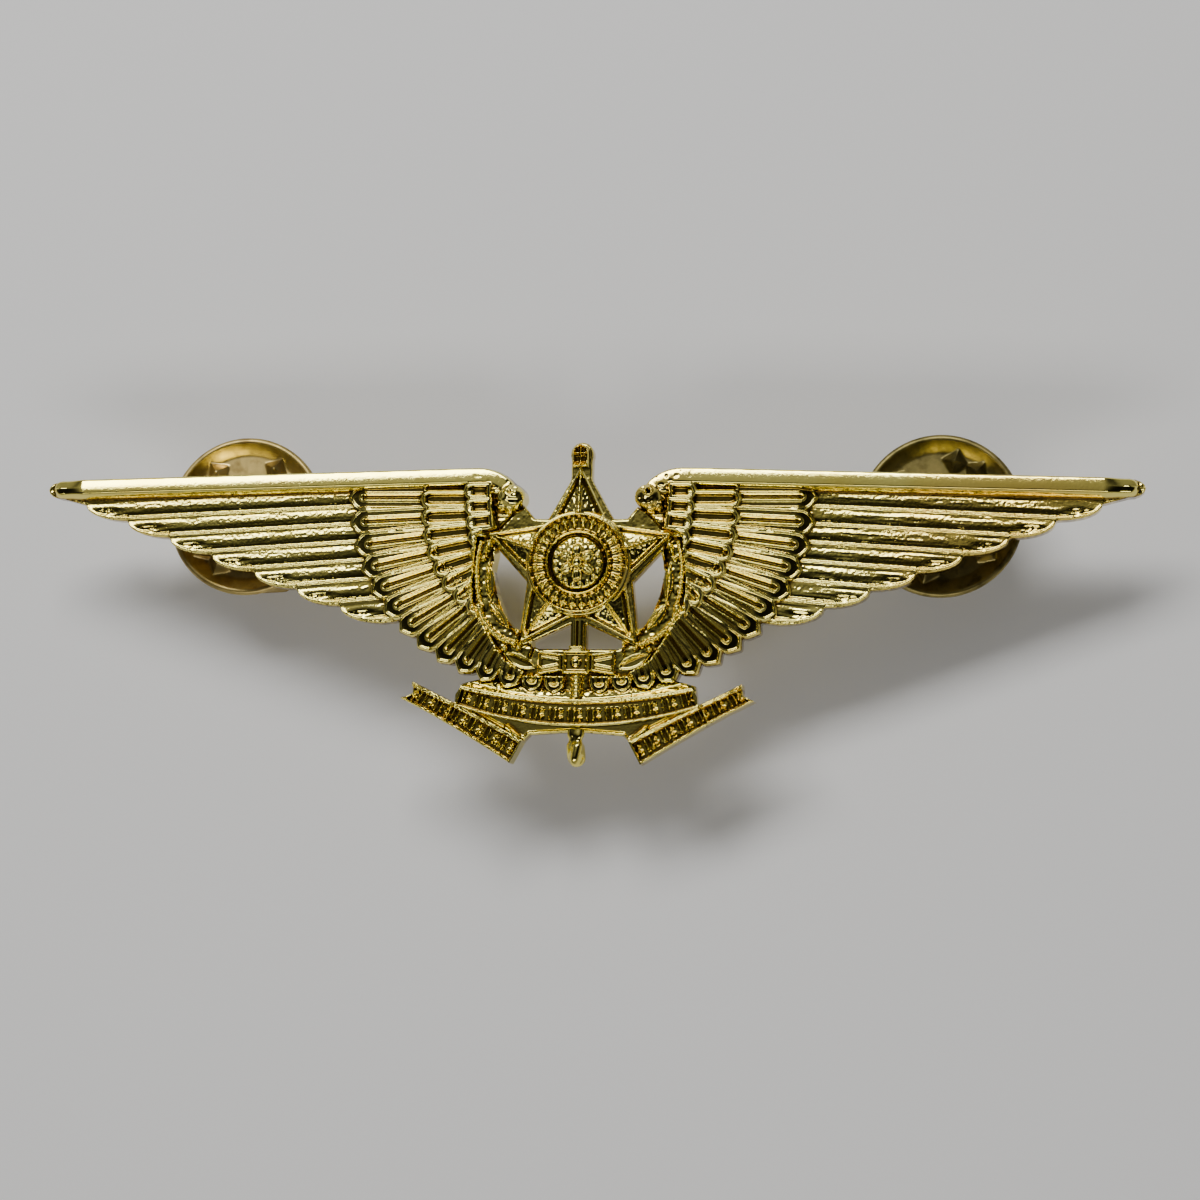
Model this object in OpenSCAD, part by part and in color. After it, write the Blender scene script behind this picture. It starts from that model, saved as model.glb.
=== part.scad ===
// A pilot wings badge worn on cloth. Two spread wings meet at a five pointed star with a
// round medallion, over a sword and three scrolls of ribbon. Two pointed posts stand out
// of its back, and a butterfly clutch grips each post from behind the cloth.
// The badge lies face up: X runs along the wingspan, Y towards the star's top point,
// and Z out of the face. Z is 0 where the clutch levers stand on a table.

/* [Badge] */
// Distance from wing tip to wing tip
wingspan = 78; // [74:1:82]
// Thickness of the flat plate under the relief
plate_t = 1; // [0.8:0.1:1.4]
// Distance from the star's centre to the tips of its points
star_r = 6.9; // [6.5:0.1:7.2]
// Radius of the medallion's outer rim
ring_r = 3.55; // [3.4:0.05:3.7]
// Radius of the round boss inside the medallion
boss_r = 1.95; // [1.6:0.05:2.1]
// Height of the ribbon scrolls across their length
ribbon_w = 1.5; // [1.3:0.1:1.6]

/* [Feathers] */
// Number of long flight feathers on each wing, below the leading bar
primary_count = 7; // [6:1:8]
// Number of feathers in the long covert row, from the leading bar to the sword
greater_count = 14; // [12:1:15]
// Number of feathers in the middle covert row
median_count = 8; // [6:1:9]
// Number of feathers in the short covert row at the shoulder
lesser_count = 5; // [4:1:6]
// Height of the leading bar above the plate
bar_h = 1.0; // [0.7:0.1:1.2]

/* [Posts] */
// Distance from the middle of the badge to each post
post_x = 25; // [23:0.1:26]
// Distance from the star's centre up to the line of the posts
post_rise = 3.8; // [2.5:0.1:4]
// Radius of the post's shank
post_r = 0.55; // [0.5:0.01:0.58]
// Length of the post from the back of the badge to its point
post_len = 7; // [6.6:0.1:7.2]
// Room for cloth between the badge's back and the clutch
cloth_gap = 2.2; // [2:0.1:2.6]

/* [Clutch] */
// Diameter of the clutch's disc
clutch_d = 11.5; // [11:0.1:12]
// Height of the clutch from the disc's face to the ends of its levers
clutch_h = 5.6; // [5.5:0.1:5.8]
// Thickness of the disc and of the cage's sheet metal
sheet_t = 0.3; // [0.25:0.05:0.35]
// Radius of the hole in the disc
disc_hole_r = 0.65; // [0.63:0.01:0.7]
// Turn of the left clutch about its post
left_turn = 3; // [-30:1:30]
// Turn of the right clutch about its post
right_turn = 19; // [-30:1:30]

/* [Hidden] */
$fn = 48;

half_span = wingspan / 2;
back_z = clutch_h + cloth_gap;
front_z = back_z + plate_t;

// The star's centre is placed so that the box around the whole part is centred on Y.
pommel_end_y = -14.2;
star_y = -(pommel_end_y + post_rise + clutch_d / 2) / 2;

// Wing layout, measured from the star's centre
bar_w = 1.35;
shoulder_x = 7.2;
shoulder_top_y = 6.8;
wing_tip_y = 5.4;
first_tip = [half_span - 2.9, 4.2];
last_tip = [17.1, -3.1];
feather_round = 3;
covert_curve = [[16.6, 5.2], [16.6, -3.4], [10.2, -8.9], [1.2, -9.1]];
median_curve = [[11.4, 5.2], [11.4, 0.6], [10.2, -1.9], [7.6, -3.6]];
lesser_curve = [[8.3, 5.2], [8.3, 3.4], [7.9, 1.2], [7.4, -0.6]];

// Heights above the plate
primary_h = 0.5;
greater_h = 0.75;
median_h = 0.95;
lesser_h = 1.1;
star_base_h = 0.5;
star_ridge_h = 1;
ribbon_h = 0.65;
border_h = 0.25;
branch_h = 1;
bow_h = 1.1;

// Centre layout, measured from the star's centre
star_inner = 0.5;
halo = 0.45;
blade_w = 0.9;
bow_y = -6.95;
arc_r = 25.9;
arc_y = 16;
arc_half = 18.4;
tail_start = [4.15, -13.2];
tail_turn = 28.2;
tail_len = 9.3;

// Clutch layout: depths are measured from the disc's face, away from the badge.
rim_rise = 0.5;
rim_r = 0.28;
spike_w = 1.4;
spike_h = 0.85;
cage_r = 3.2;
cage_wall_h = 4.1;
cage_h = 5.3;
slot_w = 4.2;
hinge_y = 2.7;
hinge_depth = 2.9;
lever_w = 3.7;
lever_t = 0.4;
lever_turn = 50;
jaw_top = 1.05;
jaw_end = 2.5;
spring_depth = 1.35;
spring_r = 1.65;
spring_wire_r = 0.18;
solder_r = 2.1;
flange_r = 1.6;
flange_t = 0.35;
groove_depth = 0.08;

// ---- curves ----

// A point on the cubic curve of four handles
function curve(c, t) =
    pow(1 - t, 3) * c[0] + 3 * t * pow(1 - t, 2) * c[1]
    + 3 * t * t * (1 - t) * c[2] + pow(t, 3) * c[3];

function arc(c, rx, ry, from, to, step) =
    [for (a = [from:step:to]) c + [rx * cos(a), ry * sin(a)]];

function star_points(r, inner) =
    [for (i = [0:9]) (i % 2 == 0 ? r : r * inner) * [cos(90 + 36 * i), sin(90 + 36 * i)]];

// The point where the flight feather's end begins, and its rounded end
function primary_tip(i) = first_tip + (last_tip - first_tip) * i / (primary_count - 1);
primary_drop = (first_tip[1] - last_tip[1]) / (primary_count - 1);
function primary_end(i) =
    [for (a = [0:18:90]) primary_tip(i)
        - [feather_round * (1 - cos(a)), 0.92 * primary_drop * sin(a)]];

// The turn of a covert below the horizontal, along its row
function covert_turn(t) = 92 * pow(t, 1.35);

// ---- flat outlines, for the right half where there are two ----

module mirrored() {
    children();
    mirror([1, 0]) children();
}

module wing_outline() {
    shoulder = arc([shoulder_x, shoulder_top_y - 3], 3.3, 3, 90, 165, 15);
    tip = arc([half_span - 1.2, wing_tip_y - 0.1], 1.2, 0.65, 90, -90, -30);
    ends = [for (i = [0:primary_count - 1]) each primary_end(i)];
    hem = [for (t = [0.46:0.06:0.9]) curve(covert_curve, t)];
    inner = [[6.3, -8], [4.3, -6.2], [4.3, -4.9], [5.2, -3.6], [5.75, -2.2],
        [6.1, -0.5], [5.85, 0.9], [6.2, 2], [5, 3.4]];
    polygon(concat(inner, [for (i = [len(shoulder) - 1:-1:0]) shoulder[i]], tip, ends, hem));
}

module plate_web() {
    polygon([[0, 3], [1.6, 3.75], [2.3, 3.2], [3.3, 3.25], [4, 4.1], [6.4, 3], [6.8, 2]]);
    polygon([[0, -5.95], [2.8, -5.95], [4.1, -5.4], [5.2, -5], [6.4, -8], [8.3, -8.5],
        [8.5, -10.1], [3.8, -12.5], [3.3, -12], [0, -11.75]]);
}

module tail_outline(side) {
    mirror([side < 0 ? 1 : 0, 0])
        translate(tail_start)
            rotate(tail_turn)
                polygon([[0, -ribbon_w / 2], [tail_len, -ribbon_w / 2],
                    [tail_len - 0.7, 0], [tail_len, ribbon_w / 2], [0, ribbon_w / 2]]);
}

module center_outline() {
    difference() {
        union() {
            polygon(star_points(star_r + halo, star_inner + 0.04));
            circle(r = ring_r + 0.25);
            translate([-0.8, 5.6]) square([1.6, 2.3]);
            translate([0, 7.85]) circle(r = 0.8);
            translate([-0.6, -6.2]) square([1.2, 3]);
            mirrored() plate_web();
        }
        tail_outline(1);
        tail_outline(-1);
    }
}

// The bed of the leaf branch, where the wing's relief is left out
module branch_bed() {
    polygon([[5.9, 1.9], [7.3, 1.9], [7.6, -1.2], [7.5, -2.6], [7.1, -3.6], [5.9, -5.6],
        [5.1, -6.8], [3.2, -7.9], [2.9, -6], [4.3, -4.9], [5.2, -3.6], [5.75, -2.2],
        [6.1, -0.5]]);
}

module leaf(length, width) {
    bow_r = (length * length / 4 + width * width / 4) / width;
    intersection() {
        translate([0, bow_r - width / 2]) circle(r = bow_r);
        translate([0, width / 2 - bow_r]) circle(r = bow_r);
    }
}

module feather(length, width) {
    translate([-length, -width / 2]) square([length - width / 2, width]);
    translate([-width / 2, 0]) circle(d = width);
}

// ---- the badge ----

module raise(height) {
    translate([0, star_y, front_z]) linear_extrude(height) children();
}

module covert_row(count, row, from, to, length, width) {
    for (i = [0:count - 1]) {
        t = from + (to - from) * i / (count - 1);
        translate(curve(row, t)) rotate(-covert_turn(t)) feather(length, width);
    }
}

module primary(i) {
    inner_x = 12;
    run = primary_tip(i)[0] - inner_x;
    slope = tan(2.8 + 0.45 * i);
    top = primary_tip(i) - [0, 0.12];
    end = primary_end(i);
    low = end[len(end) - 1];
    polygon(concat([[inner_x, low[1] + (run - feather_round) * slope]],
        [[inner_x, top[1] + run * slope - 0.1]], [top],
        [for (k = [1:len(end) - 1]) end[k]]));
}

module leading_bar() {
    top = shoulder_top_y;
    polygon(concat(
        [[half_span - 1.2, wing_tip_y - 0.7], [shoulder_x, top - bar_w],
            [5.6, top - bar_w - 0.6], [4.9, top - bar_w - 1.4], [4.3, 4.4]],
        [for (a = [160:-14:90]) [shoulder_x + 3.3 * cos(a), top - 3 + 3 * sin(a)]],
        arc([half_span - 1.2, wing_tip_y - 0.05], 1.1, 0.6, 90, -60, -30)));
}

module bird_head() {
    raise(1.5) translate([5.1, 4.55]) circle(r = 0.8);
    raise(1.2) polygon([[4.9, 5.2], [4.1, 4.75], [3.75, 4.1], [4.2, 4], [5.1, 3.9]]);
}

module wing_body() {
    difference() {
        translate([0, star_y, back_z]) linear_extrude(plate_t) wing_outline();
        translate([0, star_y, back_z - 1]) linear_extrude(plate_t + 2) center_outline();
    }
    difference() {
        intersection() {
            union() {
                raise(bar_h) leading_bar();
                for (i = [0:primary_count - 1]) raise(primary_h) primary(i);
                raise(greater_h) covert_row(greater_count, covert_curve, 0.05, 0.74, 5.2, 1.2);
                raise(median_h) covert_row(median_count, median_curve, 0.1, 1, 3.4, 0.95);
                raise(lesser_h) covert_row(lesser_count, lesser_curve, 0.12, 1, 2.1, 0.85);
            }
            raise(3) wing_outline();
        }
        raise(3) branch_bed();
        raise(3) polygon(star_points(star_r + 0.05, star_inner));
    }
    bird_head();
}

module left_wing() {
    color("gold") mirror([1, 0, 0]) wing_body();
}

module right_wing() {
    color("gold") wing_body();
}

module center_plate() {
    color("goldenrod") {
        translate([0, star_y, back_z]) linear_extrude(plate_t) center_outline();
        mirrored() raise(0.6) covert_row(3, covert_curve, 0.86, 0.98, 0.95, 1);
    }
}

module star() {
    outline = star_points(star_r, star_inner);
    color("gold") difference() {
        union() {
            raise(star_base_h) polygon(outline);
            translate([0, star_y, front_z + star_base_h])
                polyhedron(
                    points = concat([for (p = outline) [p[0], p[1], 0]],
                        [[0, 0, star_ridge_h], [0, 0, 0]]),
                    faces = concat([for (i = [0:9]) [(i + 1) % 10, i, 10]],
                        [for (i = [0:9]) [i, (i + 1) % 10, 11]]));
        }
        translate([0, star_y, front_z + star_base_h]) cylinder(r = ring_r, h = 2);
    }
}

module medallion_ring() {
    teeth = 28;
    rim_w = 0.25;
    field_h = 0.45;
    rim_h = 0.8;
    z = front_z + star_base_h;
    color("goldenrod") translate([0, star_y, z]) {
        rotate_extrude() polygon([[boss_r, 0], [ring_r, 0], [ring_r, rim_h],
            [ring_r - rim_w, rim_h], [ring_r - rim_w, field_h], [boss_r + rim_w, field_h],
            [boss_r + rim_w, rim_h], [boss_r, rim_h]]);
        for (i = [0:teeth - 1])
            rotate(360 * i / teeth)
                translate([boss_r + rim_w + 0.12, -0.14, field_h - 0.1])
                    cube([ring_r - boss_r - 2 * rim_w - 0.24, 0.28, 0.32]);
    }
}

module medallion_boss() {
    edge_h = 0.5;
    dome_h = 0.45;
    dome_r = (boss_r * boss_r + dome_h * dome_h) / (2 * dome_h);
    color("gold") translate([0, star_y, front_z + star_base_h]) {
        cylinder(r = boss_r, h = edge_h);
        intersection() {
            translate([0, 0, edge_h]) cylinder(r = boss_r, h = 1);
            translate([0, 0, edge_h + dome_h - dome_r]) sphere(r = dome_r);
        }
    }
}

module sword() {
    grip_r = 0.54;
    grip_top_y = -7.87;
    pommel_r = 0.62;
    pommel_top_y = -11.8;
    color("gold") {
        raise(0.7) translate([-blade_w / 2, -6.02]) square([blade_w, 1.9]);
        raise(0.9) {
            translate([-0.55, 6.98]) square([1.1, 0.9]);
            translate([0, 7.85]) circle(r = 0.55);
        }
        intersection() {
            translate([0, star_y + grip_top_y, front_z + 0.3])
                rotate([90, 0, 0]) cylinder(r = grip_r, h = 1.9);
            translate([-1, star_y - 12, front_z]) cube([2, 5, 2]);
        }
        translate([0, star_y + pommel_top_y, front_z - 0.1]) rotate([90, 0, 0])
            cylinder(r = pommel_r, h = pommel_top_y - pommel_end_y - pommel_r);
        translate([0, star_y + pommel_end_y + pommel_r, front_z - 0.1]) sphere(r = pommel_r);
    }
}

module guard_bow() {
    color("goldenrod") {
        raise(bow_h) translate([0, bow_y]) square([1.84, 1.6], center = true);
        mirrored() raise(bow_h - 0.2)
            polygon([[0.92, bow_y - 0.55], [2.75, bow_y - 0.9],
                [2.75, bow_y + 0.9], [0.92, bow_y + 0.55]]);
        translate([0, star_y + bow_y, front_z + bow_h]) cylinder(r = 0.4, h = 0.2);
    }
}

module branch() {
    raise(branch_h * 0.6) {
        translate([6.7, 0.4]) rotate(95) leaf(2.2, 0.8);
        translate([6.45, -1.5]) rotate(82) leaf(2.4, 0.85);
        translate([6.35, -3.3]) rotate(60) leaf(2.3, 0.9);
        translate([5.1, -4.9]) rotate(38) leaf(2.3, 0.9);
        translate([3.95, -6.85]) rotate(28) leaf(2, 0.9);
    }
    for (p = [[7, -2.35], [5.75, -4.3], [4.35, -5.75]])
        translate([p[0], p[1] + star_y, front_z]) cylinder(r = 0.33, h = branch_h);
}

module left_branch() {
    color("goldenrod") mirror([1, 0, 0]) branch();
}

module right_branch() {
    color("goldenrod") branch();
}

module arc_band(inner, outer, half_angle) {
    far = outer * 1.2;
    translate([0, arc_y]) intersection() {
        difference() {
            circle(r = outer, $fn = 180);
            circle(r = inner, $fn = 180);
        }
        polygon([[0, 0], far * [sin(half_angle), -cos(half_angle)], [0, -far * 1.1],
            far * [-sin(half_angle), -cos(half_angle)]]);
    }
}

module center_ribbon() {
    bars = 15;
    edge = 0.2;
    color("gold") {
        raise(ribbon_h) arc_band(arc_r, arc_r + ribbon_w, arc_half);
        difference() {
            raise(ribbon_h + border_h) arc_band(arc_r, arc_r + ribbon_w, arc_half);
            raise(ribbon_h + 1) arc_band(arc_r + edge, arc_r + ribbon_w - edge, arc_half - 0.4);
        }
        for (i = [0:bars - 1])
            translate([0, star_y + arc_y, front_z + ribbon_h - 0.1])
                rotate((i - (bars - 1) / 2) * 2.3)
                    translate([-0.16, -arc_r - ribbon_w + 0.4, 0])
                        cube([0.32, ribbon_w - 0.8, 0.28]);
    }
}

module ribbon_tail() {
    bars = 8;
    edge = 0.2;
    floor_t = front_z - back_z + 0.35;
    color("gold") translate([0, star_y, back_z]) {
        linear_extrude(floor_t) tail_outline(1);
        translate([tail_start[0], tail_start[1], floor_t]) rotate(tail_turn) {
            for (side = [-1, 1])
                translate([0, side * (ribbon_w - edge) / 2 - edge / 2, -0.1])
                    cube([tail_len - 0.3, edge, border_h + 0.1]);
            for (i = [0:bars - 1])
                translate([0.7 + i * 0.98, -ribbon_w / 2 + 0.4, -0.1])
                    cube([0.35, ribbon_w - 0.8, 0.28]);
        }
    }
}

module left_ribbon() {
    mirror([1, 0, 0]) ribbon_tail();
}

module right_ribbon() {
    ribbon_tail();
}

// ---- posts ----

// The shank has one shallow groove level with the disc, and one that the jaws close on.
module post(x) {
    point_l = 1;
    disc_groove = cloth_gap - 0.05;
    jaw_groove = cloth_gap + 1.9;
    thin = post_r - groove_depth;
    color("khaki") translate([x, star_y + post_rise, back_z]) rotate([180, 0, 0])
        rotate_extrude()
            polygon([[0, 0], [flange_r, 0], [flange_r, flange_t - 0.1], [flange_r - 0.15, flange_t],
                [post_r, flange_t], [post_r, disc_groove], [thin, disc_groove + 0.3],
                [post_r, disc_groove + 0.6], [post_r, jaw_groove], [thin, jaw_groove + 0.3],
                [post_r, jaw_groove + 0.6],
                [post_r, post_len - point_l], [0.1, post_len], [0, post_len]]);
}

module left_post() {
    post(-post_x);
}

module right_post() {
    post(post_x);
}

module solder(x) {
    color("silver") translate([x, star_y + post_rise, back_z]) rotate([180, 0, 0])
        rotate_extrude()
            polygon([[flange_r, 0], [solder_r, 0], [flange_r + 0.15, 0.1], [flange_r, 0.22]]);
}

module left_solder() {
    solder(-post_x);
}

module right_solder() {
    solder(post_x);
}

// ---- clutches: Z runs down from the disc's face, away from the badge ----

module at_clutch(side) {
    translate([side * post_x, star_y + post_rise, clutch_h])
        rotate(side < 0 ? left_turn : right_turn)
            rotate([180, 0, 0]) children();
}

module disc_body() {
    outer = clutch_d / 2;
    bend = outer - 1.3;
    color("darkkhaki") {
        rotate_extrude() polygon([[disc_hole_r, 0], [bend, 0], [outer - rim_r, -rim_rise],
            [outer - rim_r, sheet_t - rim_rise], [bend, sheet_t], [disc_hole_r, sheet_t]]);
        translate([0, 0, sheet_t / 2 - rim_rise]) rotate_extrude()
            translate([outer - rim_r, 0]) circle(r = rim_r);
        for (pair = [0:3])
            for (side = [-12, 12])
                rotate(45 + 90 * pair + side)
                    translate([0.77 * outer - 0.45, 0, 0.1])
                        rotate([180, 0, 0]) cylinder(r1 = spike_w / sqrt(2), r2 = 0.1,
                            h = spike_h + 0.1, $fn = 4);
    }
}

module cage_body() {
    inner = cage_r - sheet_t;
    dome = cage_h - cage_wall_h;
    slot_depth = 1.6;
    color("darkkhaki") difference() {
        rotate_extrude() polygon(concat(
            [[inner, sheet_t], [cage_r + 0.7, sheet_t], [cage_r + 0.7, 2 * sheet_t],
                [cage_r, 2 * sheet_t]],
            [for (a = [0:15:90]) [cage_r * cos(a), cage_wall_h + dome * sin(a)]],
            [for (a = [90:-15:0]) [inner * cos(a), cage_wall_h + (dome - sheet_t) * sin(a)]]));
        for (side = [-1, 1])
            translate([-slot_w / 2, side > 0 ? 1.7 : -5.7, slot_depth])
                cube([slot_w, 4, cage_h]);
    }
}

// One lever: a half collar on the post, an arm down to the hinge, and a wing to squeeze
module lever() {
    gap = 0.1;
    wing_l = (clutch_h - hinge_depth - lever_t / 2 * cos(lever_turn)) / sin(lever_turn);
    color("khaki") {
        difference() {
            translate([0, 0, jaw_top]) cylinder(r = 1, h = jaw_end - jaw_top);
            translate([0, 0, jaw_top - 1]) cylinder(r = post_r + 0.03, h = jaw_end);
            translate([-2, gap - 4, 0]) cube([4, 4, 4]);
        }
        translate([0, hinge_y, hinge_depth]) {
            rotate([0, 90, 0]) translate([0, 0, -lever_w / 2]) cylinder(r = 0.32, h = lever_w);
            rotate([lever_turn, 0, 0]) translate([-lever_w / 2, 0, -lever_t / 2])
                cube([lever_w, wing_l, lever_t]);
        }
        translate([-0.9, 0.8, jaw_end - lever_t]) cube([1.8, hinge_y - 0.8, lever_t]);
        translate([-0.9, hinge_y - 0.3, jaw_end - lever_t])
            cube([1.8, 0.3, hinge_depth - jaw_end + lever_t]);
    }
}

module jaw_spring() {
    color("silver") translate([0, 0, spring_depth]) rotate_extrude()
        translate([spring_r, 0]) circle(r = spring_wire_r);
}

module left_disc() {
    at_clutch(-1) disc_body();
}

module left_cage() {
    at_clutch(-1) cage_body();
}

module left_upper_lever() {
    at_clutch(-1) mirror([0, 1, 0]) lever();
}

module left_lower_lever() {
    at_clutch(-1) lever();
}

module left_jaw_spring() {
    at_clutch(-1) jaw_spring();
}

module right_disc() {
    at_clutch(1) disc_body();
}

module right_cage() {
    at_clutch(1) cage_body();
}

module right_upper_lever() {
    at_clutch(1) mirror([0, 1, 0]) lever();
}

module right_lower_lever() {
    at_clutch(1) lever();
}

module right_jaw_spring() {
    at_clutch(1) jaw_spring();
}

left_wing();
right_wing();
center_plate();
star();
medallion_ring();
medallion_boss();
sword();
guard_bow();
left_branch();
right_branch();
center_ribbon();
left_ribbon();
right_ribbon();
left_post();
right_post();
left_solder();
right_solder();
left_disc();
left_cage();
left_upper_lever();
left_lower_lever();
left_jaw_spring();
right_disc();
right_cage();
right_upper_lever();
right_lower_lever();
right_jaw_spring();
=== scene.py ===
"""The looks of the pilot wings badge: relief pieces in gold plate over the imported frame.

Relief is worked out in millimetres, measured from the star's centre, with heights above
the badge's plate. Every piece is built in metres in the frame's own coordinates.
"""
import math

import bmesh
import bpy
import numpy as np
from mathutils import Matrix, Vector


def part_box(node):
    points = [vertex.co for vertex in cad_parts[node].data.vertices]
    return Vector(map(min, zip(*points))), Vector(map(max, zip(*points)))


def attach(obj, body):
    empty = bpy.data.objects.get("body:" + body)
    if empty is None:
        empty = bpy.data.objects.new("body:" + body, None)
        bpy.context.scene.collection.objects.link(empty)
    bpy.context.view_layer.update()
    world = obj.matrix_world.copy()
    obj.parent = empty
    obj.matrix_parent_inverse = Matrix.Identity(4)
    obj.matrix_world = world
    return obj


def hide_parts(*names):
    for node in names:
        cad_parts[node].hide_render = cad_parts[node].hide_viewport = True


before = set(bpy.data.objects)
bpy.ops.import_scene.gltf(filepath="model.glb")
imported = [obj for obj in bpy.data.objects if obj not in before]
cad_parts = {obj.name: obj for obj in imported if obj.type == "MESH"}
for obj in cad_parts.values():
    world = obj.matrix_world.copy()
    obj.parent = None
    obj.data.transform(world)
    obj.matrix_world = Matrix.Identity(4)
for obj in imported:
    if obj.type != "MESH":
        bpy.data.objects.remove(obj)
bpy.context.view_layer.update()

MM = 0.001


def node_box(node):
    """Lowest and highest corner of a CAD node, in millimetres"""
    low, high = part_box(node)
    return np.array(low) / MM, np.array(high) / MM


# ---- sizes taken from the frame ----

BOSS_LOW, BOSS_HIGH = node_box("medallion_boss")
RING_LOW, RING_HIGH = node_box("medallion_ring")
STAR_LOW, STAR_HIGH = node_box("star")
WING_LOW, WING_HIGH = node_box("right_wing")

CENTER_Y = (BOSS_LOW[1] + BOSS_HIGH[1]) / 2
# Heights of the plate's front face and of the badge's back
FRONT_Z = STAR_LOW[2]
BACK_Z = WING_LOW[2]
PLATE_T = FRONT_Z - BACK_Z
HALF_SPAN = WING_HIGH[0]
BOSS_R = (BOSS_HIGH[0] - BOSS_LOW[0]) / 2
RING_R = (RING_HIGH[0] - RING_LOW[0]) / 2
STAR_R = STAR_HIGH[1] - CENTER_Y
STAR_BASE = RING_LOW[2] - FRONT_Z
POMMEL_END = node_box("sword")[0][1] - CENTER_Y

# ---- layout of the relief, measured from the star's centre; STEP is its grid's spacing ----

STEP = 0.056
MERGE_DISTANCE = 0.002 * MM
SHOULDER = (7.2, 6.8)
WING_TIP_Y = 5.4
PRIMARIES = 7
FIRST_TIP = (HALF_SPAN - 2.9, 4.2)
LAST_TIP = (17.1, -3.1)
TIP_ROUND = 3.0
PRIMARY_DROP = (FIRST_TIP[1] - LAST_TIP[1]) / (PRIMARIES - 1)
COVERT_CURVE = ((16.6, 5.2), (16.6, -3.4), (10.2, -8.9), (1.2, -9.1))
MEDIAN_CURVE = ((11.4, 5.2), (11.4, 0.6), (10.2, -1.9), (7.6, -3.6))
LESSER_CURVE = ((8.3, 5.2), (8.3, 3.4), (7.9, 1.2), (7.4, -0.6))
WING_INNER = ((6.3, -8), (4.3, -6.2), (4.3, -4.9), (5.2, -3.6), (5.75, -2.2),
              (6.1, -0.5), (5.85, 0.9), (6.2, 2), (5, 3.4))
STAR_INNER = 0.5
HALO = 0.42
BOW_Y = -6.95
ARC_Y = 16.0
ARC_R = 25.9
RIBBON_W = 1.5
RIBBON_SWELL = 0.42
ARC_HALF = math.radians(18.4)
TAIL_START = (4.15, -13.2)
TAIL_TURN = math.radians(28.2)
TAIL_LEN = 9.3


# ---- curves and distances, on arrays of x and y ----

def smooth_max(a, b, blend):
    share = np.clip(0.5 + 0.5 * (a - b) / blend, 0, 1)
    return b + (a - b) * share + blend * share * (1 - share)


def smooth_min(a, b, blend):
    return -smooth_max(-a, -b, blend)


def smooth_step(low, high, value):
    t = np.clip((value - low) / (high - low), 0, 1)
    return t * t * (3 - 2 * t)


def ridge(distance, width):
    """A round ridge of height 1 where the distance is 0"""
    return np.exp(-(distance / width) ** 2)


def dome(distance, radius):
    """A half-round bulge of height 1 at distance 0, and 0 from the radius on"""
    return np.sqrt(np.clip(1 - (distance / radius) ** 2, 0, 1))


def worn_edge(inside, width):
    """1 at an edge, easing to 0 at the given width inside it"""
    return np.clip(1 - inside / width, 0, 1) ** 2


def cubic(handles, t):
    """The point at t on a cubic curve with four handles"""
    weights = ((1 - t) ** 3, 3 * t * (1 - t) ** 2, 3 * t * t * (1 - t), t ** 3)
    return tuple(sum(w * h[axis] for w, h in zip(weights, handles)) for axis in (0, 1))


def even_points(handles, count, start, end):
    """Points evenly spaced along a cubic curve, and each one's share of the way"""
    fine_steps = 400
    fine = [cubic(handles, start + (end - start) * k / fine_steps) for k in range(fine_steps + 1)]
    steps = [math.dist(a, b) for a, b in zip(fine, fine[1:])]
    walked = np.concatenate([[0], np.cumsum(steps)])
    shares = [k / (count - 1) for k in range(count)]
    picks = [int(np.searchsorted(walked, s * walked[-1] - 1e-9)) for s in shares]
    return [(fine[min(p, fine_steps)], s) for p, s in zip(picks, shares)]


def ellipse_arc(center, radii, start, end, count):
    """Points along an ellipse, between two angles in degrees"""
    angles = np.radians(np.linspace(start, end, count))
    return [(center[0] + radii[0] * math.cos(a), center[1] + radii[1] * math.sin(a)) for a in angles]


def star_points(radius, inner):
    angles = [math.radians(90 + 36 * k) for k in range(10)]
    radii = [radius if k % 2 == 0 else radius * inner for k in range(10)]
    return [(r * math.cos(a), r * math.sin(a)) for r, a in zip(radii, angles)]


def polygon_distance(points, x, y):
    """Signed distance to a closed outline, negative inside"""
    best = np.full(x.shape, 1e9)
    inside = np.zeros(x.shape, bool)
    for (ax, ay), (bx, by) in zip(points, points[1:] + points[:1]):
        ex, ey = bx - ax, by - ay
        px, py = x - ax, y - ay
        t = np.clip((px * ex + py * ey) / max(ex * ex + ey * ey, 1e-12), 0, 1)
        best = np.minimum(best, (px - ex * t) ** 2 + (py - ey * t) ** 2)
        if ay != by:
            crosses = (ay > y) != (by > y)
            inside ^= crosses & (x < ex * (y - ay) / ey + ax)
    return np.where(inside, -1, 1) * np.sqrt(best)


def path_distance(points, x, y):
    """Distance to an open path, the side it lies on (+ is left), and the way along it"""
    best = np.full(x.shape, 1e9)
    side = np.zeros(x.shape)
    along = np.zeros(x.shape)
    walked = 0.0
    for (ax, ay), (bx, by) in zip(points, points[1:]):
        ex, ey = bx - ax, by - ay
        length = math.hypot(ex, ey)
        px, py = x - ax, y - ay
        t = np.clip((px * ex + py * ey) / length ** 2, 0, 1)
        d = np.hypot(px - ex * t, py - ey * t)
        near = d < best
        best = np.where(near, d, best)
        side = np.where(near, np.sign(ex * py - ey * px), side)
        along = np.where(near, walked + t * length, along)
        walked += length
    return best, side, along


def box_distance(x, y, center, half):
    """Signed distance to a rectangle, negative inside"""
    dx = np.abs(x - center[0]) - half[0]
    dy = np.abs(y - center[1]) - half[1]
    outside = np.hypot(np.maximum(dx, 0), np.maximum(dy, 0))
    return outside + np.minimum(np.maximum(dx, dy), 0)


def turned(x, y, origin, angle):
    """Coordinates along and across a direction, from an origin"""
    dx, dy = x - origin[0], y - origin[1]
    c, s = math.cos(angle), math.sin(angle)
    return dx * c + dy * s, -dx * s + dy * c


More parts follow.
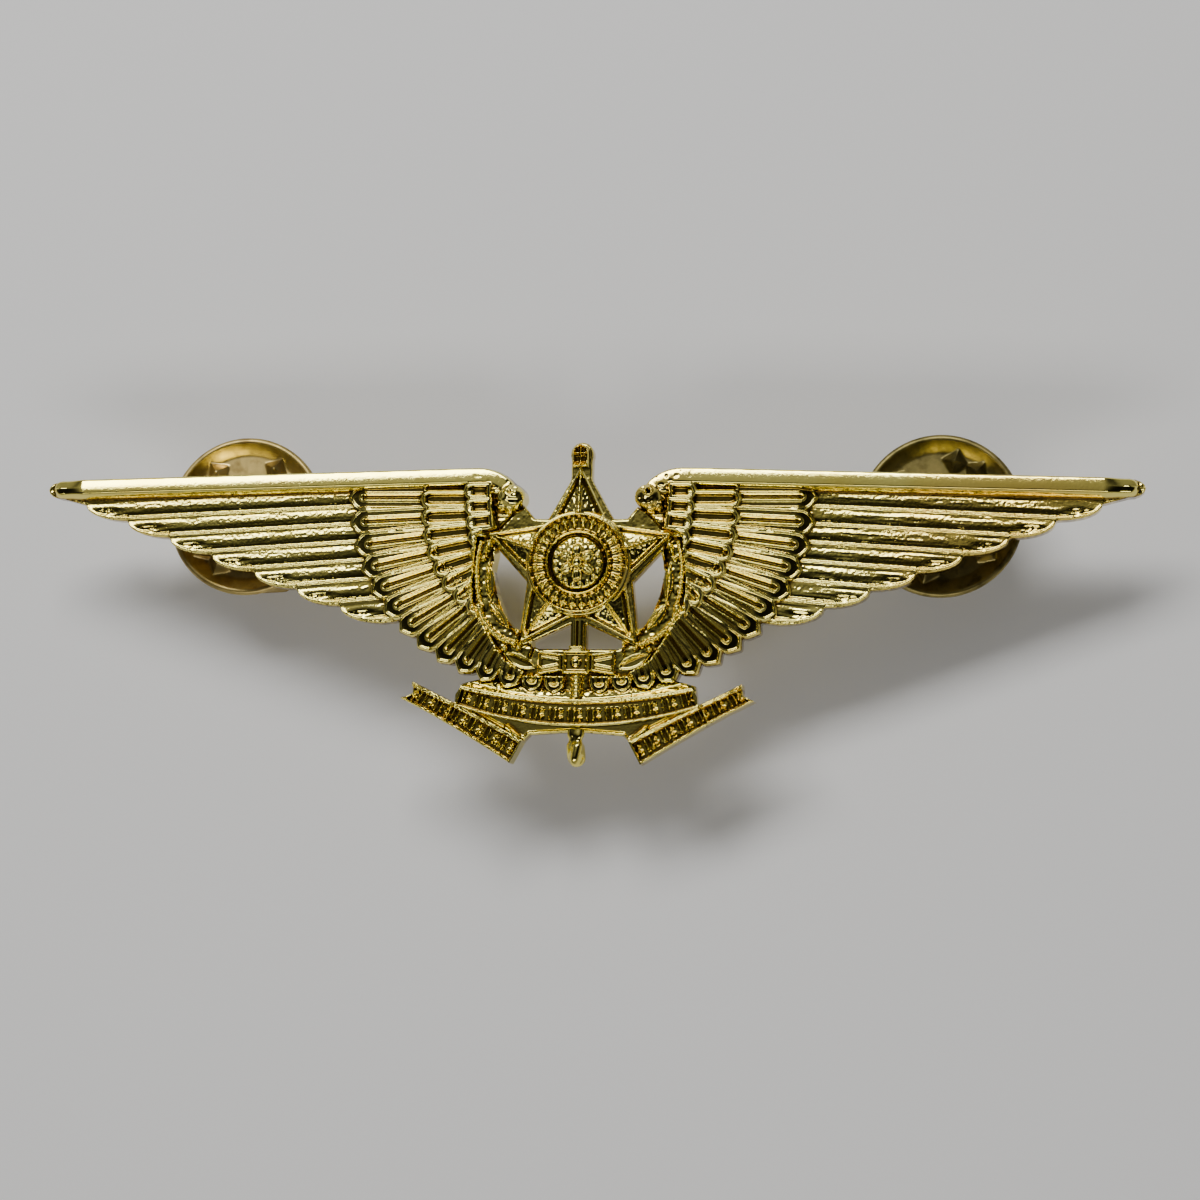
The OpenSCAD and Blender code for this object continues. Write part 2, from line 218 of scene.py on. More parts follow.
def leaf_distance(x, y, center, angle, length, width):
    """Signed distance to a pointed leaf, negative inside"""
    u, v = turned(x, y, center, angle)
    bow = (length ** 2 + width ** 2) / (4 * width)
    return np.hypot(u, np.abs(v) + bow - width / 2) - bow


def noise(x, y, cell, seed):
    """Smooth random values from 0 to 1, one per cell"""
    size, offset = 128, 40
    table = np.random.default_rng(seed).random((size, size))
    cell_x, cell_y = cell if isinstance(cell, tuple) else (cell, cell)
    u, v = x / cell_x + offset, y / cell_y + offset
    i, j = np.floor(u).astype(int), np.floor(v).astype(int)
    fu, fv = u - i, v - j
    fu, fv = fu * fu * (3 - 2 * fu), fv * fv * (3 - 2 * fv)
    i0, i1, j0, j1 = i % size, (i + 1) % size, j % size, (j + 1) % size
    low = table[j0, i0] * (1 - fu) + table[j0, i1] * fu
    high = table[j1, i0] * (1 - fu) + table[j1, i1] * fu
    return low * (1 - fv) + high * fv


def drop_off(surface, inside):
    """The surface where inside is positive, falling steeply beyond its edge"""
    return surface + 3 * np.minimum(inside, 0)


# ---- relief meshes ----

def blurred(values, reach):
    """Box blur along both axes, three times over"""
    result = values
    for _ in range(3):
        for axis in (0, 1):
            padded = np.concatenate([np.take(result, [0] * reach, axis), result,
                                     np.take(result, [-1] * reach, axis)], axis)
            total = np.cumsum(padded, axis)
            first = np.take(total, [0], axis) * 0
            total = np.concatenate([first, total], axis)
            count = 2 * reach + 1
            upper = np.take(total, range(count, total.shape[axis]), axis)
            lower = np.take(total, range(total.shape[axis] - count), axis)
            result = (upper - lower) / count
    return result


def snapped_grid(outline, window, step):
    """Grid points over the window, with those next to the outline moved onto it"""
    nudge, reach = step / 20, 0.62 * step
    x0, y0, x1, y1 = window
    nx, ny = int((x1 - x0) / step) + 1, int((y1 - y0) / step) + 1
    x, y = np.meshgrid(x0 + step * np.arange(nx + 1), y0 + step * np.arange(ny + 1))
    for _ in range(2):
        d = outline(x, y)
        gx = (outline(x + nudge, y) - d) / nudge
        gy = (outline(x, y + nudge) - d) / nudge
        slope = np.maximum(np.hypot(gx, gy), 0.3)
        near = np.abs(d) < reach
        x = np.where(near, x - d * gx / slope ** 2, x)
        y = np.where(near, y - d * gy / slope ** 2, y)
    inside = np.where(near, True, d < 0)
    return x, y, inside


def grid_faces(inside):
    """Quads and corner triangles over the points that lie inside"""
    ids = np.arange(inside.size).reshape(inside.shape)
    corners = np.stack([ids[:-1, :-1], ids[:-1, 1:], ids[1:, 1:], ids[1:, :-1]], -1).reshape(-1, 4)
    use = inside.reshape(-1)[corners]
    quads = corners[use.all(1)]
    three = corners[use.sum(1) == 3]
    mask = use[use.sum(1) == 3]
    triangles = three[mask].reshape(-1, 3)
    return quads.tolist() + triangles.tolist()


def relief(name, outline, height, window, bottom, step, polish):
    """A solid with a flat bottom and a relief top over an outline.
    Its finish colour attribute holds the painted shade of hollows (red), the polish (green) and the
    height (blue)."""
    x, y, inside = snapped_grid(outline, window, step)
    z = np.maximum(height(x, y), bottom + 0.05)
    # Painted shade mask: how far each point lies below its blurred surroundings
    hollow = np.clip(0.5 + (blurred(z, 3) - z) * 2.2, 0, 1)
    shine = np.clip(polish(x, y), 0, 1) if callable(polish) else np.full(x.shape, polish)
    level = np.clip((z - bottom) / 3, 0, 1)
    faces = grid_faces(inside)
    used = np.unique(np.concatenate([np.array(f) for f in faces]))
    renumber = np.full(x.size, -1)
    renumber[used] = np.arange(used.size)
    flat = [a.reshape(-1)[used] for a in (x, y, z, hollow, shine, level)]
    vertices = np.stack([flat[0], flat[1] + CENTER_Y, flat[2] + FRONT_Z], 1) * MM
    mesh = bpy.data.meshes.new(name)
    mesh.from_pydata(vertices.tolist(), [], [[int(renumber[k]) for k in f] for f in faces])
    colours = mesh.color_attributes.new("finish", "FLOAT_COLOR", "POINT")
    packed = np.stack([flat[3], flat[4], flat[5], np.ones(used.size)], 1)
    colours.data.foreach_set("color", packed.astype(np.float32).ravel())
    close_below(mesh, (FRONT_Z + bottom) * MM)
    return add_object(name, mesh)


def close_below(mesh, bottom):
    """Merges points that coincide, and adds walls down from the rim and a flat bottom"""
    bm = bmesh.new()
    bm.from_mesh(mesh)
    bmesh.ops.remove_doubles(bm, verts=bm.verts, dist=MERGE_DISTANCE)
    for face in bm.faces:
        face.smooth = True
    rim = [e for e in bm.edges if len(e.link_faces) == 1]
    wall = bmesh.ops.extrude_edge_only(bm, edges=rim)["geom"]
    low_verts = [g for g in wall if isinstance(g, bmesh.types.BMVert)]
    low_edges = [g for g in wall if isinstance(g, bmesh.types.BMEdge) and len(g.link_faces) == 1]
    for v in low_verts:
        v.co.z = bottom
    for face in [g for g in wall if isinstance(g, bmesh.types.BMFace)]:
        face.smooth = True
    for edge in rim:
        edge.smooth = False
    floor = bmesh.ops.triangle_fill(bm, use_beauty=True, use_dissolve=False, edges=low_edges)["geom"]
    for face in [g for g in floor if isinstance(g, bmesh.types.BMFace)]:
        face.smooth = False
    for edge in low_edges:
        edge.smooth = False
    bmesh.ops.recalc_face_normals(bm, faces=bm.faces)
    bm.to_mesh(mesh)
    bm.free()


def add_object(name, mesh):
    piece = bpy.data.objects.new(name, mesh)
    bpy.context.scene.collection.objects.link(piece)
    return piece


# ---- camera and light ----

# The camera looks at AIM from this many millimetres away, tilted and rolled as in the photo
CAMERA_DISTANCE = 200.0
CAMERA_TILT_X = math.radians(8.85)
CAMERA_TILT_Y = math.radians(6.19)
CAMERA_ROLL = math.radians(1.18)
CAMERA_LENS = 85.9
AIM = Vector((1.51, CENTER_Y - 2.52, 9.0))

# The room's grey at each height, from level with the paper to straight overhead
ROOM_GREYS = ((0.0, 0.5), (0.30, 0.3), (0.50, 0.05), (0.75, 0.008), (1.0, 0.004))
ROOM_STRENGTH = 0.8
WALL_DIRECTION = Vector((-0.2, 0.5, 0.8)).normalized()
WALL_SHARPNESS = 12
WALL_STRENGTH = 0.42

# Each light's place, width, height (metres), power (watts) and colour
LIGHTS = {"window": ((-0.06, 0.22, 0.30), 0.26, 0.085, 1.08, (1.0, 0.99, 0.98)),
          "front_card": ((0.0, -0.28, 0.30), 0.34, 0.09, 0.46, (1.0, 0.98, 0.95))}


def make_camera():
    data = bpy.data.cameras.new("photo_camera")
    data.sensor_width = 36
    data.lens = CAMERA_LENS
    data.clip_start = 0.005
    data.clip_end = 20
    camera = bpy.data.objects.new("photo_camera", data)
    bpy.context.scene.collection.objects.link(camera)
    back = Vector((math.tan(CAMERA_TILT_X), -math.tan(CAMERA_TILT_Y), 1)).normalized()
    right = Vector((0, 1, 0)).cross(back).normalized()
    up = back.cross(right)
    rolled_right = right * math.cos(CAMERA_ROLL) + up * math.sin(CAMERA_ROLL)
    rolled_up = back.cross(rolled_right)
    place = (AIM + back * CAMERA_DISTANCE) * MM
    matrix = camera.matrix_world
    for row in range(3):
        matrix[row][0] = rolled_right[row]
        matrix[row][1] = rolled_up[row]
        matrix[row][2] = back[row]
        matrix[row][3] = place[row]
    camera.matrix_world = matrix
    bpy.context.scene.camera = camera


def area_light(name, place, width, height, power, colour):
    """A rectangular light that faces the frame's origin"""
    data = bpy.data.lights.new(name, "AREA")
    data.shape = "RECTANGLE"
    data.size = width
    data.size_y = height
    data.energy = power
    data.color = colour
    lamp = bpy.data.objects.new(name, data)
    bpy.context.scene.collection.objects.link(lamp)
    lamp.location = place
    toward = Vector((0, 0, 0)) - Vector(place)
    lamp.rotation_euler = toward.to_track_quat("-Z", "Y").to_euler()


def make_light():
    """A window behind the badge, a dimmer card in front, and a room that is dark overhead"""
    for name, settings in LIGHTS.items():
        area_light(name, *settings)
    world = bpy.data.worlds.new("studio")
    bpy.context.scene.world = world
    world.use_nodes = True
    nodes, links = world.node_tree.nodes, world.node_tree.links
    where = nodes.new("ShaderNodeTexCoord").outputs["Generated"]
    split = nodes.new("ShaderNodeSeparateXYZ")
    links.new(where, split.inputs[0])
    room = nodes.new("ShaderNodeValToRGB")
    links.new(split.outputs["Z"], room.inputs["Fac"])
    fill_ramp(room, [(height, (grey, grey, grey)) for height, grey in ROOM_GREYS])
    facing = nodes.new("ShaderNodeVectorMath")
    facing.operation = "DOT_PRODUCT"
    links.new(where, facing.inputs[0])
    facing.inputs[1].default_value = WALL_DIRECTION
    lobe = nodes.new("ShaderNodeMath")
    lobe.operation = "POWER"
    lobe.use_clamp = True
    links.new(facing.outputs["Value"], lobe.inputs[0])
    lobe.inputs[1].default_value = WALL_SHARPNESS
    for source, strength, at_node in ((room.outputs["Color"], ROOM_STRENGTH, "Background"),
                                      (lobe.outputs[0], WALL_STRENGTH, None)):
        background = nodes[at_node] if at_node else nodes.new("ShaderNodeBackground")
        links.new(source, background.inputs["Color"])
        background.inputs["Strength"].default_value = strength
    both = nodes.new("ShaderNodeAddShader")
    links.new(nodes["Background"].outputs[0], both.inputs[0])
    links.new(background.outputs[0], both.inputs[1])
    links.new(both.outputs[0], nodes["World Output"].inputs["Surface"])


def fill_ramp(ramp, stops):
    elements = ramp.color_ramp.elements
    while len(elements) < len(stops):
        elements.new(0.5)
    places, colours = zip(*stops)
    for element, place in zip(elements, places):
        element.position = place
    for element, colour in zip(elements, colours):
        element.color = (*colour, 1)


# ---- materials ----

class Shader:
    """A short way to write node trees"""

    def __init__(self, name):
        self.material = bpy.data.materials.new(name)
        self.material.use_nodes = True
        self.tree = self.material.node_tree
        self.surface = self.tree.nodes["Principled BSDF"]

    def node(self, kind, inputs=None, **settings):
        made = self.tree.nodes.new("ShaderNode" + kind)
        for key, value in settings.items():
            setattr(made, key, value)
        for key, value in (inputs or {}).items():
            self.feed(made.inputs[key], value)
        return made

    def feed(self, socket, value):
        if isinstance(value, bpy.types.NodeSocket):
            self.tree.links.new(value, socket)
        else:
            socket.default_value = value

    def noise(self, scale, detail=3, stretch=(1, 1, 1), roughness=0.55):
        place = self.node("TexCoord").outputs["Object"]
        spread = self.node("Mapping", {"Vector": place, "Scale": stretch}).outputs[0]
        return self.node("TexNoise", {"Vector": spread, "Scale": scale, "Detail": detail,
                                      "Roughness": roughness}).outputs["Fac"]

    def ramp(self, factor, stops):
        made = self.node("ValToRGB", {"Fac": factor})
        fill_ramp(made, stops)
        return made.outputs["Color"]

    def remap(self, value, low, high, to_low, to_high):
        return self.node("MapRange", {"Value": value, "From Min": low, "From Max": high,
                                      "To Min": to_low, "To Max": to_high}).outputs[0]

    def math(self, operation, a, b):
        return self.node("Math", {0: a, 1: b}, operation=operation).outputs[0]

    def mix(self, factor, a, b):
        """Mixes two colours; the Mix node's colour sockets are 6 and 7, and 2 comes out"""
        made = self.node("Mix", data_type="RGBA")
        for index, value in ((0, factor), (6, a), (7, b)):
            self.feed(made.inputs[index], value)
        return made.outputs[2]

    def finish(self, colour, rough, texture, strength, distance, metallic=1):
        """Feeds the surface's colour, roughness and bump, and returns the material"""
        bump = self.node("Bump", {"Height": texture, "Strength": strength, "Distance": distance})
        inputs = self.surface.inputs
        self.feed(inputs["Base Color"], colour)
        self.feed(inputs["Roughness"], rough)
        self.feed(inputs["Normal"], bump.outputs[0])
        inputs["Metallic"].default_value = metallic
        return self.material


# Gold: its two yellows, its orange patches, and the painted shade of hollows and of deep hollows
GOLD_YELLOWS = ((0.3, (0.79, 0.66, 0.14)), (0.7, (0.88, 0.78, 0.21)))
GOLD_ORANGE = (0.84, 0.58, 0.11, 1)
GOLD_WARM_SHADE = (0.55, 0.36, 0.05, 1)
GOLD_DEEP_SHADE = (0.10, 0.055, 0.010, 1)
PAPER_WHITES = ((0.3, (0.83, 0.83, 0.825)), (0.7, (0.87, 0.87, 0.865)))


def gold_material(name):
    """Bright plate over cast relief: polished crests, grainy hollows darkened with painted shade"""
    shader = Shader(name)
    finish = shader.node("Attribute", attribute_name="finish").outputs["Color"]
    split = shader.node("SeparateColor", {"Color": finish})
    hollow, polish = split.outputs["Red"], split.outputs["Green"]
    cloud = shader.noise(260, 4)
    grain = shader.noise(5200, 3)
    patch = shader.noise(75, 2)
    yellow = shader.ramp(cloud, GOLD_YELLOWS)
    tone = shader.mix(shader.remap(patch, 0.50, 0.72, 0, 0.6), yellow, GOLD_ORANGE)
    # Painted shade: the finish's red channel darkens hollows to a warm brown and deeper hollows to near
    # black
    warm_shaded = shader.mix(shader.remap(hollow, 0.50, 0.62, 0, 0.6), tone, GOLD_WARM_SHADE)
    toned = shader.mix(shader.remap(hollow, 0.56, 0.80, 0, 0.92), warm_shaded, GOLD_DEEP_SHADE)
    smooth = shader.remap(polish, 0, 1, 0.18, 0.06)
    rough = shader.math("ADD", smooth, shader.remap(grain, 0.3, 0.7, -0.02, 0.05))
    strength = shader.remap(polish, 0, 1, 0.5, 0.06)
    return shader.finish(toned, rough, grain, strength, 0.00008)


def brass_material(name, light, dark, stain, seed, amount):
    """Stamped brass, toned in clouds, with fine scratches"""
    shader = Shader(name)
    cloud = shader.noise(170 + seed, 5, roughness=0.62)
    spots = shader.noise(900 + seed, 3)
    scratch = shader.noise(1500, 2, stretch=(1, 0.06, 1))
    base = shader.ramp(cloud, ((0.35, dark), (0.62, light)))
    worn = shader.mix(shader.remap(spots, 0.5, 0.72, 0, amount), base, (*stain, 1))
    rough = shader.math("ADD", shader.remap(cloud, 0.35, 0.65, 0.50, 0.36),
                        shader.remap(scratch, 0.3, 0.7, -0.04, 0.06))
    return shader.finish(worn, rough, scratch, 0.15, 0.00005)


def steel_material(name, colour):
    """Spring wire or solder: clouded, with fine lines"""
    shader = Shader(name)
    cloud = shader.noise(700, 3)
    drawn = shader.noise(4000, 2, stretch=(1, 1, 0.1))
    darker = tuple(0.6 * c for c in colour)
    base = shader.ramp(cloud, ((0.3, darker), (0.7, colour)))
    return shader.finish(base, shader.remap(drawn, 0.3, 0.7, 0.22, 0.38), drawn, 0.1, 0.00004)


def paper_material():
    shader = Shader("paper")
    cloud = shader.noise(4, 4)
    fibre = shader.noise(1400, 3)
    base = shader.ramp(cloud, PAPER_WHITES)
    shader.surface.inputs["Specular IOR Level"].default_value = 0.2
    return shader.finish(base, 0.85, fibre, 0.12, 0.0001, metallic=0)


def make_floor():
    """The sheet of paper, which lies at the frame's floor"""
    half = 1.5
    corners = [(-half, -half, 0), (half, -half, 0), (half, half, 0), (-half, half, 0)]
    mesh = bpy.data.meshes.new("floor")
    mesh.from_pydata(corners, [], [(0, 1, 2, 3)])
    floor = add_object("floor", mesh)
    mesh.materials.append(paper_material())


def dress(piece, body, material, slot, *nodes):
    """Gives a finished piece its material and body, and hides the CAD nodes that it stands for; the
    slot is not used
    """
    piece.data.materials.clear()
    piece.data.materials.append(material)
    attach(piece, body)
    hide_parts(*nodes)


def badge_piece(node, outline, height, window, polish, bottom=-0.03, step=STEP):
    """A relief in gold that stands for one CAD node of the badge"""
    piece = relief(f"{node}_relief", outline, height, window, bottom, step, polish)
    dress(piece, "badge", GOLD, "gold_plate", node)


def side_piece(side, part, outline, height, window, polish, bottom=-0.03, step=STEP):
    """A badge piece that is drawn for the right side and mirrored for the left"""
    sign = 1 if side == "right" else -1
    if sign < 0:
        window = (-window[2], window[1], -window[0], window[3])
    shine = (lambda x, y: polish(sign * x, y)) if callable(polish) else polish
    badge_piece(f"{side}_{part}", lambda x, y: outline(sign * x, y),
                lambda x, y: height(sign * x, y), window, shine, bottom, step)


# ---- feathers ----

GREATER = even_points(COVERT_CURVE, 14, 0.02, 0.985)
MEDIAN = even_points(MEDIAN_CURVE, 8, 0.05, 0.98)
LESSER = even_points(LESSER_CURVE, 6, 0.02, 1.0)
GREATER_ON_WING = 12


def greater_width(share):
    """The long coverts grow narrower where they near the sword"""
    return 1.74 - 0.42 * max(share - 0.6, 0) / 0.4


def row_turn(most, power):
    """How far a row's coverts turn down: not at all at its start, most at its end"""
    return lambda share: math.radians(most * share ** power)


GREATER_TURN = row_turn(89, 1.35)

# Each row of coverts: its tips, turn, length, width, height and whether it shows a quill
COVERT_ROWS = ((GREATER, GREATER_TURN, 5.6, greater_width, 0.78, True),
               (MEDIAN, row_turn(44, 1.6), 3.8, 1.24, 1.00, False),
               (LESSER, row_turn(26, 1.5), 2.0, 1.16, 1.15, False))


def covert_edge(x, y, tip, turn, length, width):
    """Distance inside a covert's outline, with the way back from its tip and across it"""
    u, v = turned(x, y, tip, -turn)
    u = -u
    end = 0.80 * u - 0.60 * np.hypot(v, 0.12) + 0.10
    edge = smooth_min(width / 2 - np.abs(v), end, 0.28)
    return np.minimum(edge, length - u), u, v


def covert(x, y, tip, turn, length, width, top, quilled=False):
    """One covert: a raised rim round a hollow, and a loop round the quill on a long one"""
    edge, u, v = covert_edge(x, y, tip, turn, length, width)
    tilt = 0.07 * v / width
    if quilled:
        reach = np.hypot(np.maximum(0.62 * width - u, 0), v)
        rim = 0.15 * ridge(edge - 0.07, 0.07)
        shape = rim + 0.20 * ridge(reach - 0.13 * width, 0.07) - 0.12 * ridge(reach, 0.10)
        shape = shape - 0.26 * (1 - smooth_step(0, 0.85 * width, u))
    else:
        shape = 0.12 * ridge(edge - 0.17, 0.12) - 0.24 * smooth_step(0.24, 0.42, edge)
        shape = shape + 0.05 * smooth_step(1.6, 3.0, u) - 0.12 * (1 - smooth_step(0, 0.25, u))
    return drop_off(top - 0.14 + tilt + shape, edge)


def covert_field(x, y, row, turn, length, width, top, quilled):
    """A whole row of coverts"""
    field = np.full(x.shape, -9.0)
    for tip, share in row:
        wide = width(share) if callable(width) else width
        field = np.maximum(field, covert(x, y, tip, turn(share), length, wide, top, quilled))
    return field


def primary_tip(i):
    share = i / (PRIMARIES - 1)
    return (FIRST_TIP[0] + (LAST_TIP[0] - FIRST_TIP[0]) * share,
            FIRST_TIP[1] + (LAST_TIP[1] - FIRST_TIP[1]) * share)


def primary(x, y, i, seed, rough):
    """One flight feather: a rounded, streaked blade with a bright lip along its lower edge"""
    slope = math.radians(2.8 + 0.45 * i)
    u, v = turned(x, y, primary_tip(i), -slope)
    u = -u
    depth = 0.92 * PRIMARY_DROP + 0.02
    sweep = np.clip(u / TIP_ROUND, 0, 1)
    low = -depth * np.sqrt(np.maximum(1 - (1 - sweep) ** 2, 0))
    edge_low = (v - low) * np.where(u < TIP_ROUND, 0.55 + 0.45 * sweep, 1)
    edge = np.minimum(edge_low, np.minimum(0.55 - v, u * 0.8))
    across = np.clip(-v / depth, 0, 1)
    crown = 0.055 * np.sin(math.pi * np.clip(across / 0.80, 0, 1)) - 0.05 * ridge(across - 0.82, 0.06)
    streak = noise(u, v, (1.6, 0.13), seed + i) - 0.5
    frost = noise(u, v, (0.16, 0.11), seed + 20 + i) - 0.5
    streaks = 0.035 * rough * streak * smooth_step(0.15, 0.35, edge)
    frosted = 0.030 * frost * ridge(across - 0.22, 0.20) * smooth_step(1.0, 5.0, u)
    lip = 0.08 * ridge(edge_low - 0.06, 0.055)
    spoon = 0.14 * ridge(u - 1.5, 0.85) * ridge(v + 0.50 * depth, 0.20)
    step = 0.03 * smooth_step(0.75, 1.0, across)
    surface = 0.24 + step + crown + streaks + frosted + lip - spoon
    return drop_off(surface, edge)


# ---- wings ----

BAR_PATH = ([(HALF_SPAN - 1.15, 5.32)]
            + ellipse_arc((SHOULDER[0], SHOULDER[1] - 3), (2.68, 2.33), 90, 164, 12))
BAR_HALF = 1.35 / 2
# How far along the bar its bend round the shoulder starts and ends
SHOULDER_START = 29.5
SHOULDER_END = 34.5
HEAD = (4.85, 4.72)


def wing_core():
    """The wing's outline without the scallops of its coverts"""
    shoulder = ellipse_arc((SHOULDER[0], SHOULDER[1] - 3), (3.3, 3), 165, 90, 10)
    end = ellipse_arc((HALF_SPAN - 1.2, WING_TIP_Y - 0.1), (1.2, 0.65), 90, -90, 9)
    feathers = []
    for i in range(PRIMARIES):
        tip = primary_tip(i)
        for a in np.radians(np.linspace(0, 90, 9)):
            feathers.append((tip[0] - TIP_ROUND * (1 - math.cos(a)),
                             tip[1] - 0.92 * PRIMARY_DROP * math.sin(a)))
    hem = [cubic(COVERT_CURVE, t) for t in (0.46, 0.53, 0.6, 0.67, 0.74, 0.81, 0.88)]
    inset = [(px - 0.45, py + 0.45) for px, py in hem]
    return list(WING_INNER) + shoulder + end + feathers + inset


WING_CORE = wing_core()


def covert_skirt(x, y, row, length=4.0):
    """Signed distance to the greater coverts with the plate's narrow border, negative inside"""
    best = np.full(x.shape, 9.0)
    for tip, share in row:
        edge = covert_edge(x, y, tip, GREATER_TURN(share), length, greater_width(share))[0]
        best = np.minimum(best, -edge - 0.10)
    return best


def star_halo(x, y):
    return polygon_distance(star_points(STAR_R + HALO, STAR_INNER + 0.04), x, y)


def wing_outline(x, y):
    """Signed distance to the right wing, which stops short of the star"""
    core = polygon_distance(WING_CORE, x, y)
    head = np.hypot(x - HEAD[0], y - HEAD[1]) - 0.95
    whole = np.minimum(np.minimum(core, head), covert_skirt(x, y, GREATER[:GREATER_ON_WING]))
    return np.maximum(whole, -star_halo(x, y))


def bar_height(x, y, seed, hammered):
    """The polished bar along the wing's top, with a scooped tip and a bend at the shoulder"""
    distance, side, along = path_distance(BAR_PATH, x, y)
    v = -side * distance
    shoulder = smooth_step(SHOULDER_START, SHOULDER_END, along)
    half = BAR_HALF - 0.12 * shoulder
    top_edge, low_edge = half - v, half + v
    edge = np.minimum(np.minimum(top_edge, low_edge), half - distance)
    facet = 1.0 - 0.03 * (v / half) ** 2 - 0.15 * v
    facet = facet - 0.38 * worn_edge(top_edge, 0.13)
    facet = facet - 0.42 * np.clip(1 - low_edge / 0.30, 0, 1) ** 1.4
    near_tip = 1 - smooth_step(0.3, 1.7, along)
    scoop = (0.45 * np.abs(v) + 0.10) * near_tip
    pits = smooth_step(0.62, 0.85, noise(x, y, 0.34, seed + 60)) * 0.12
    worn = pits * shoulder * (1.0 if hammered else 0.35)
    return drop_off(facet - scoop - worn, edge)


def head_height(x, y, seed, worn):
    """A small generic bird's head turned to the star, with a few neck feathers"""
    dx, dy = x - HEAD[0], y - HEAD[1]
    r = np.hypot(dx, dy / 0.85)
    skull = drop_off(0.75 + 0.62 * dome(r, 1), 0.9 - r)
    u, v = turned(x, y, (3.72, 4.25), math.radians(28))
    taper = 0.14 + 0.34 * np.clip(u / 1.1, 0, 1)
    beak = drop_off(0.55 + 0.5 * dome(v, taper) + 0.1 * u,
                    np.minimum(taper - np.abs(v), np.minimum(u + 0.1, 1.4 - u)))
    head = smooth_max(skull, beak, 0.12)
    eye = np.hypot(x - 4.92, y - 5.0)
    brow = np.hypot(x - 4.6, y - 5.22)
    head = head + (0.16 * ridge(eye - 0.24, 0.08) - 0.30 * ridge(eye, 0.13)) * (0.4 if worn else 1)
    head = head + 0.12 * ridge(brow - 0.2, 0.1) * (0.5 if worn else 1)
    for k, spot in enumerate(((5.95, 4.55), (5.75, 3.9), (6.3, 5.1), (5.2, 3.75))):
        neck = covert(x, y, spot, math.radians(10 + 35 * (k % 2)), 1.3, 0.6, 1.05)
        head = np.maximum(head, neck)
    lumps = 0.13 * (noise(x, y, 0.26, seed + 70) - 0.5)
    return head + lumps


def wing_height(x, y, seed, hammered):
    """Long feathers, three rows of coverts, the bar and the head, sunk where the branch lies"""
    surface = 0.14 + 0.10 * noise(x, y, 0.16, seed)
    for i in range(PRIMARIES - 1, -1, -1):
        surface = np.maximum(surface, primary(x, y, i, seed, 1.0 if hammered else 0.45))
    for row, turn, length, width, top, quilled in COVERT_ROWS:
        surface = np.maximum(surface, covert_field(x, y, row, turn, length, width, top, quilled))
    surface = np.maximum(surface, bar_height(x, y, seed, hammered))
    surface = np.maximum(surface, head_height(x, y, seed, not hammered))
    bed = branch_bed(x, y)
    bedded = 0.10 + 0.06 * noise(x, y, 0.2, seed + 5)
    surface = np.where(bed < 0, np.minimum(surface, bedded + 3 * np.maximum(bed + 0.12, 0)), surface)
    border = -wing_outline(x, y)
    return surface - 0.12 * worn_edge(border, 0.12)


def wing_polish(x, y):
    """Full on the bar, less on the coverts, and least on the long feathers"""
    distance = path_distance(BAR_PATH, x, y)[0]
    bar = smooth_step(0.05, -0.05, distance - BAR_HALF)
    far = smooth_step(16.2, 17.5, x)
    return np.maximum(bar, np.where(far > 0.5, 0.45, 0.85))


BRANCH_BED = [(5.9, 1.9), (7.3, 1.9), (7.6, -1.2), (7.5, -2.6), (7.1, -3.6), (5.9, -5.6),
              (5.1, -6.8), (3.2, -7.9), (2.9, -6), (4.3, -4.9), (5.2, -3.6), (5.75, -2.2),
              (6.1, -0.5)]


def branch_bed(x, y):
    return polygon_distance(BRANCH_BED, x, y)


def make_wing(side):
    seed = 100 if side == "right" else 300
    side_piece(side, "wing", wing_outline, lambda x, y: wing_height(x, y, seed, side == "right"),
               (3.2, -9.6, HALF_SPAN + 0.2, 7.2), wing_polish, bottom=-PLATE_T)


# ---- plate under the centre ----

WEB_TOP = [(0, 3), (1.6, 3.75), (2.3, 3.2), (3.3, 3.25), (4, 4.1), (6.4, 3), (6.8, 2)]
WEB_LOW = [(0, -5.95), (2.8, -5.95), (4.1, -5.4), (5.2, -5), (6.4, -8), (8.3, -8.5),
           (8.5, -10.1), (3.8, -12.5), (3.3, -12), (0, -11.75)]
FINIAL_Y = 7.3
CAP_Y = 7.85


def tail_axes(x, y):
    """Coordinates along and across the right-hand ribbon tail, which bows a little"""
    u, v = turned(x, y, TAIL_START, TAIL_TURN)
    return u, v - 0.10 * np.sin(math.pi * np.clip(u / TAIL_LEN, 0, 1))


def tail_half(u):
    """Half the tail's width, which is largest at its inner end"""
    return RIBBON_W / 2 - 0.03 + 0.20 * np.clip(1 - u / 7, 0, 1)


def tail_distance(x, y):
    """Signed distance to the tail, with its notched outer end"""
    u, v = tail_axes(x, y)
    half = tail_half(u)
    end = TAIL_LEN - 0.35 - 0.42 * (1 - np.abs(v) / half) - 0.14 * v
    return np.maximum(np.abs(v) - half, np.maximum(-u, (u - end) * 0.75))


def center_outline(x, y):
    """Signed distance to the plate that the star, sword and ribbon lie on"""
    ax = np.abs(x)
    shapes = [star_halo(x, y), np.hypot(x, y) - RING_R - 0.22,
              box_distance(x, y, (0, 6.7), (0.74, 1.15)), np.hypot(x, y - CAP_Y) - 0.8,
              box_distance(x, y, (0, -4.9), (0.56, 1.3)),
              polygon_distance(WEB_TOP, ax, y), polygon_distance(WEB_LOW, ax, y),
              covert_skirt(ax, y, GREATER[GREATER_ON_WING:], 2.4)]
    whole = shapes[0]
    for shape in shapes[1:]:
        whole = smooth_min(whole, shape, 0.12)
    whole = np.maximum(whole, -wing_outline(ax, y))
    return np.maximum(whole, -tail_distance(ax, y))


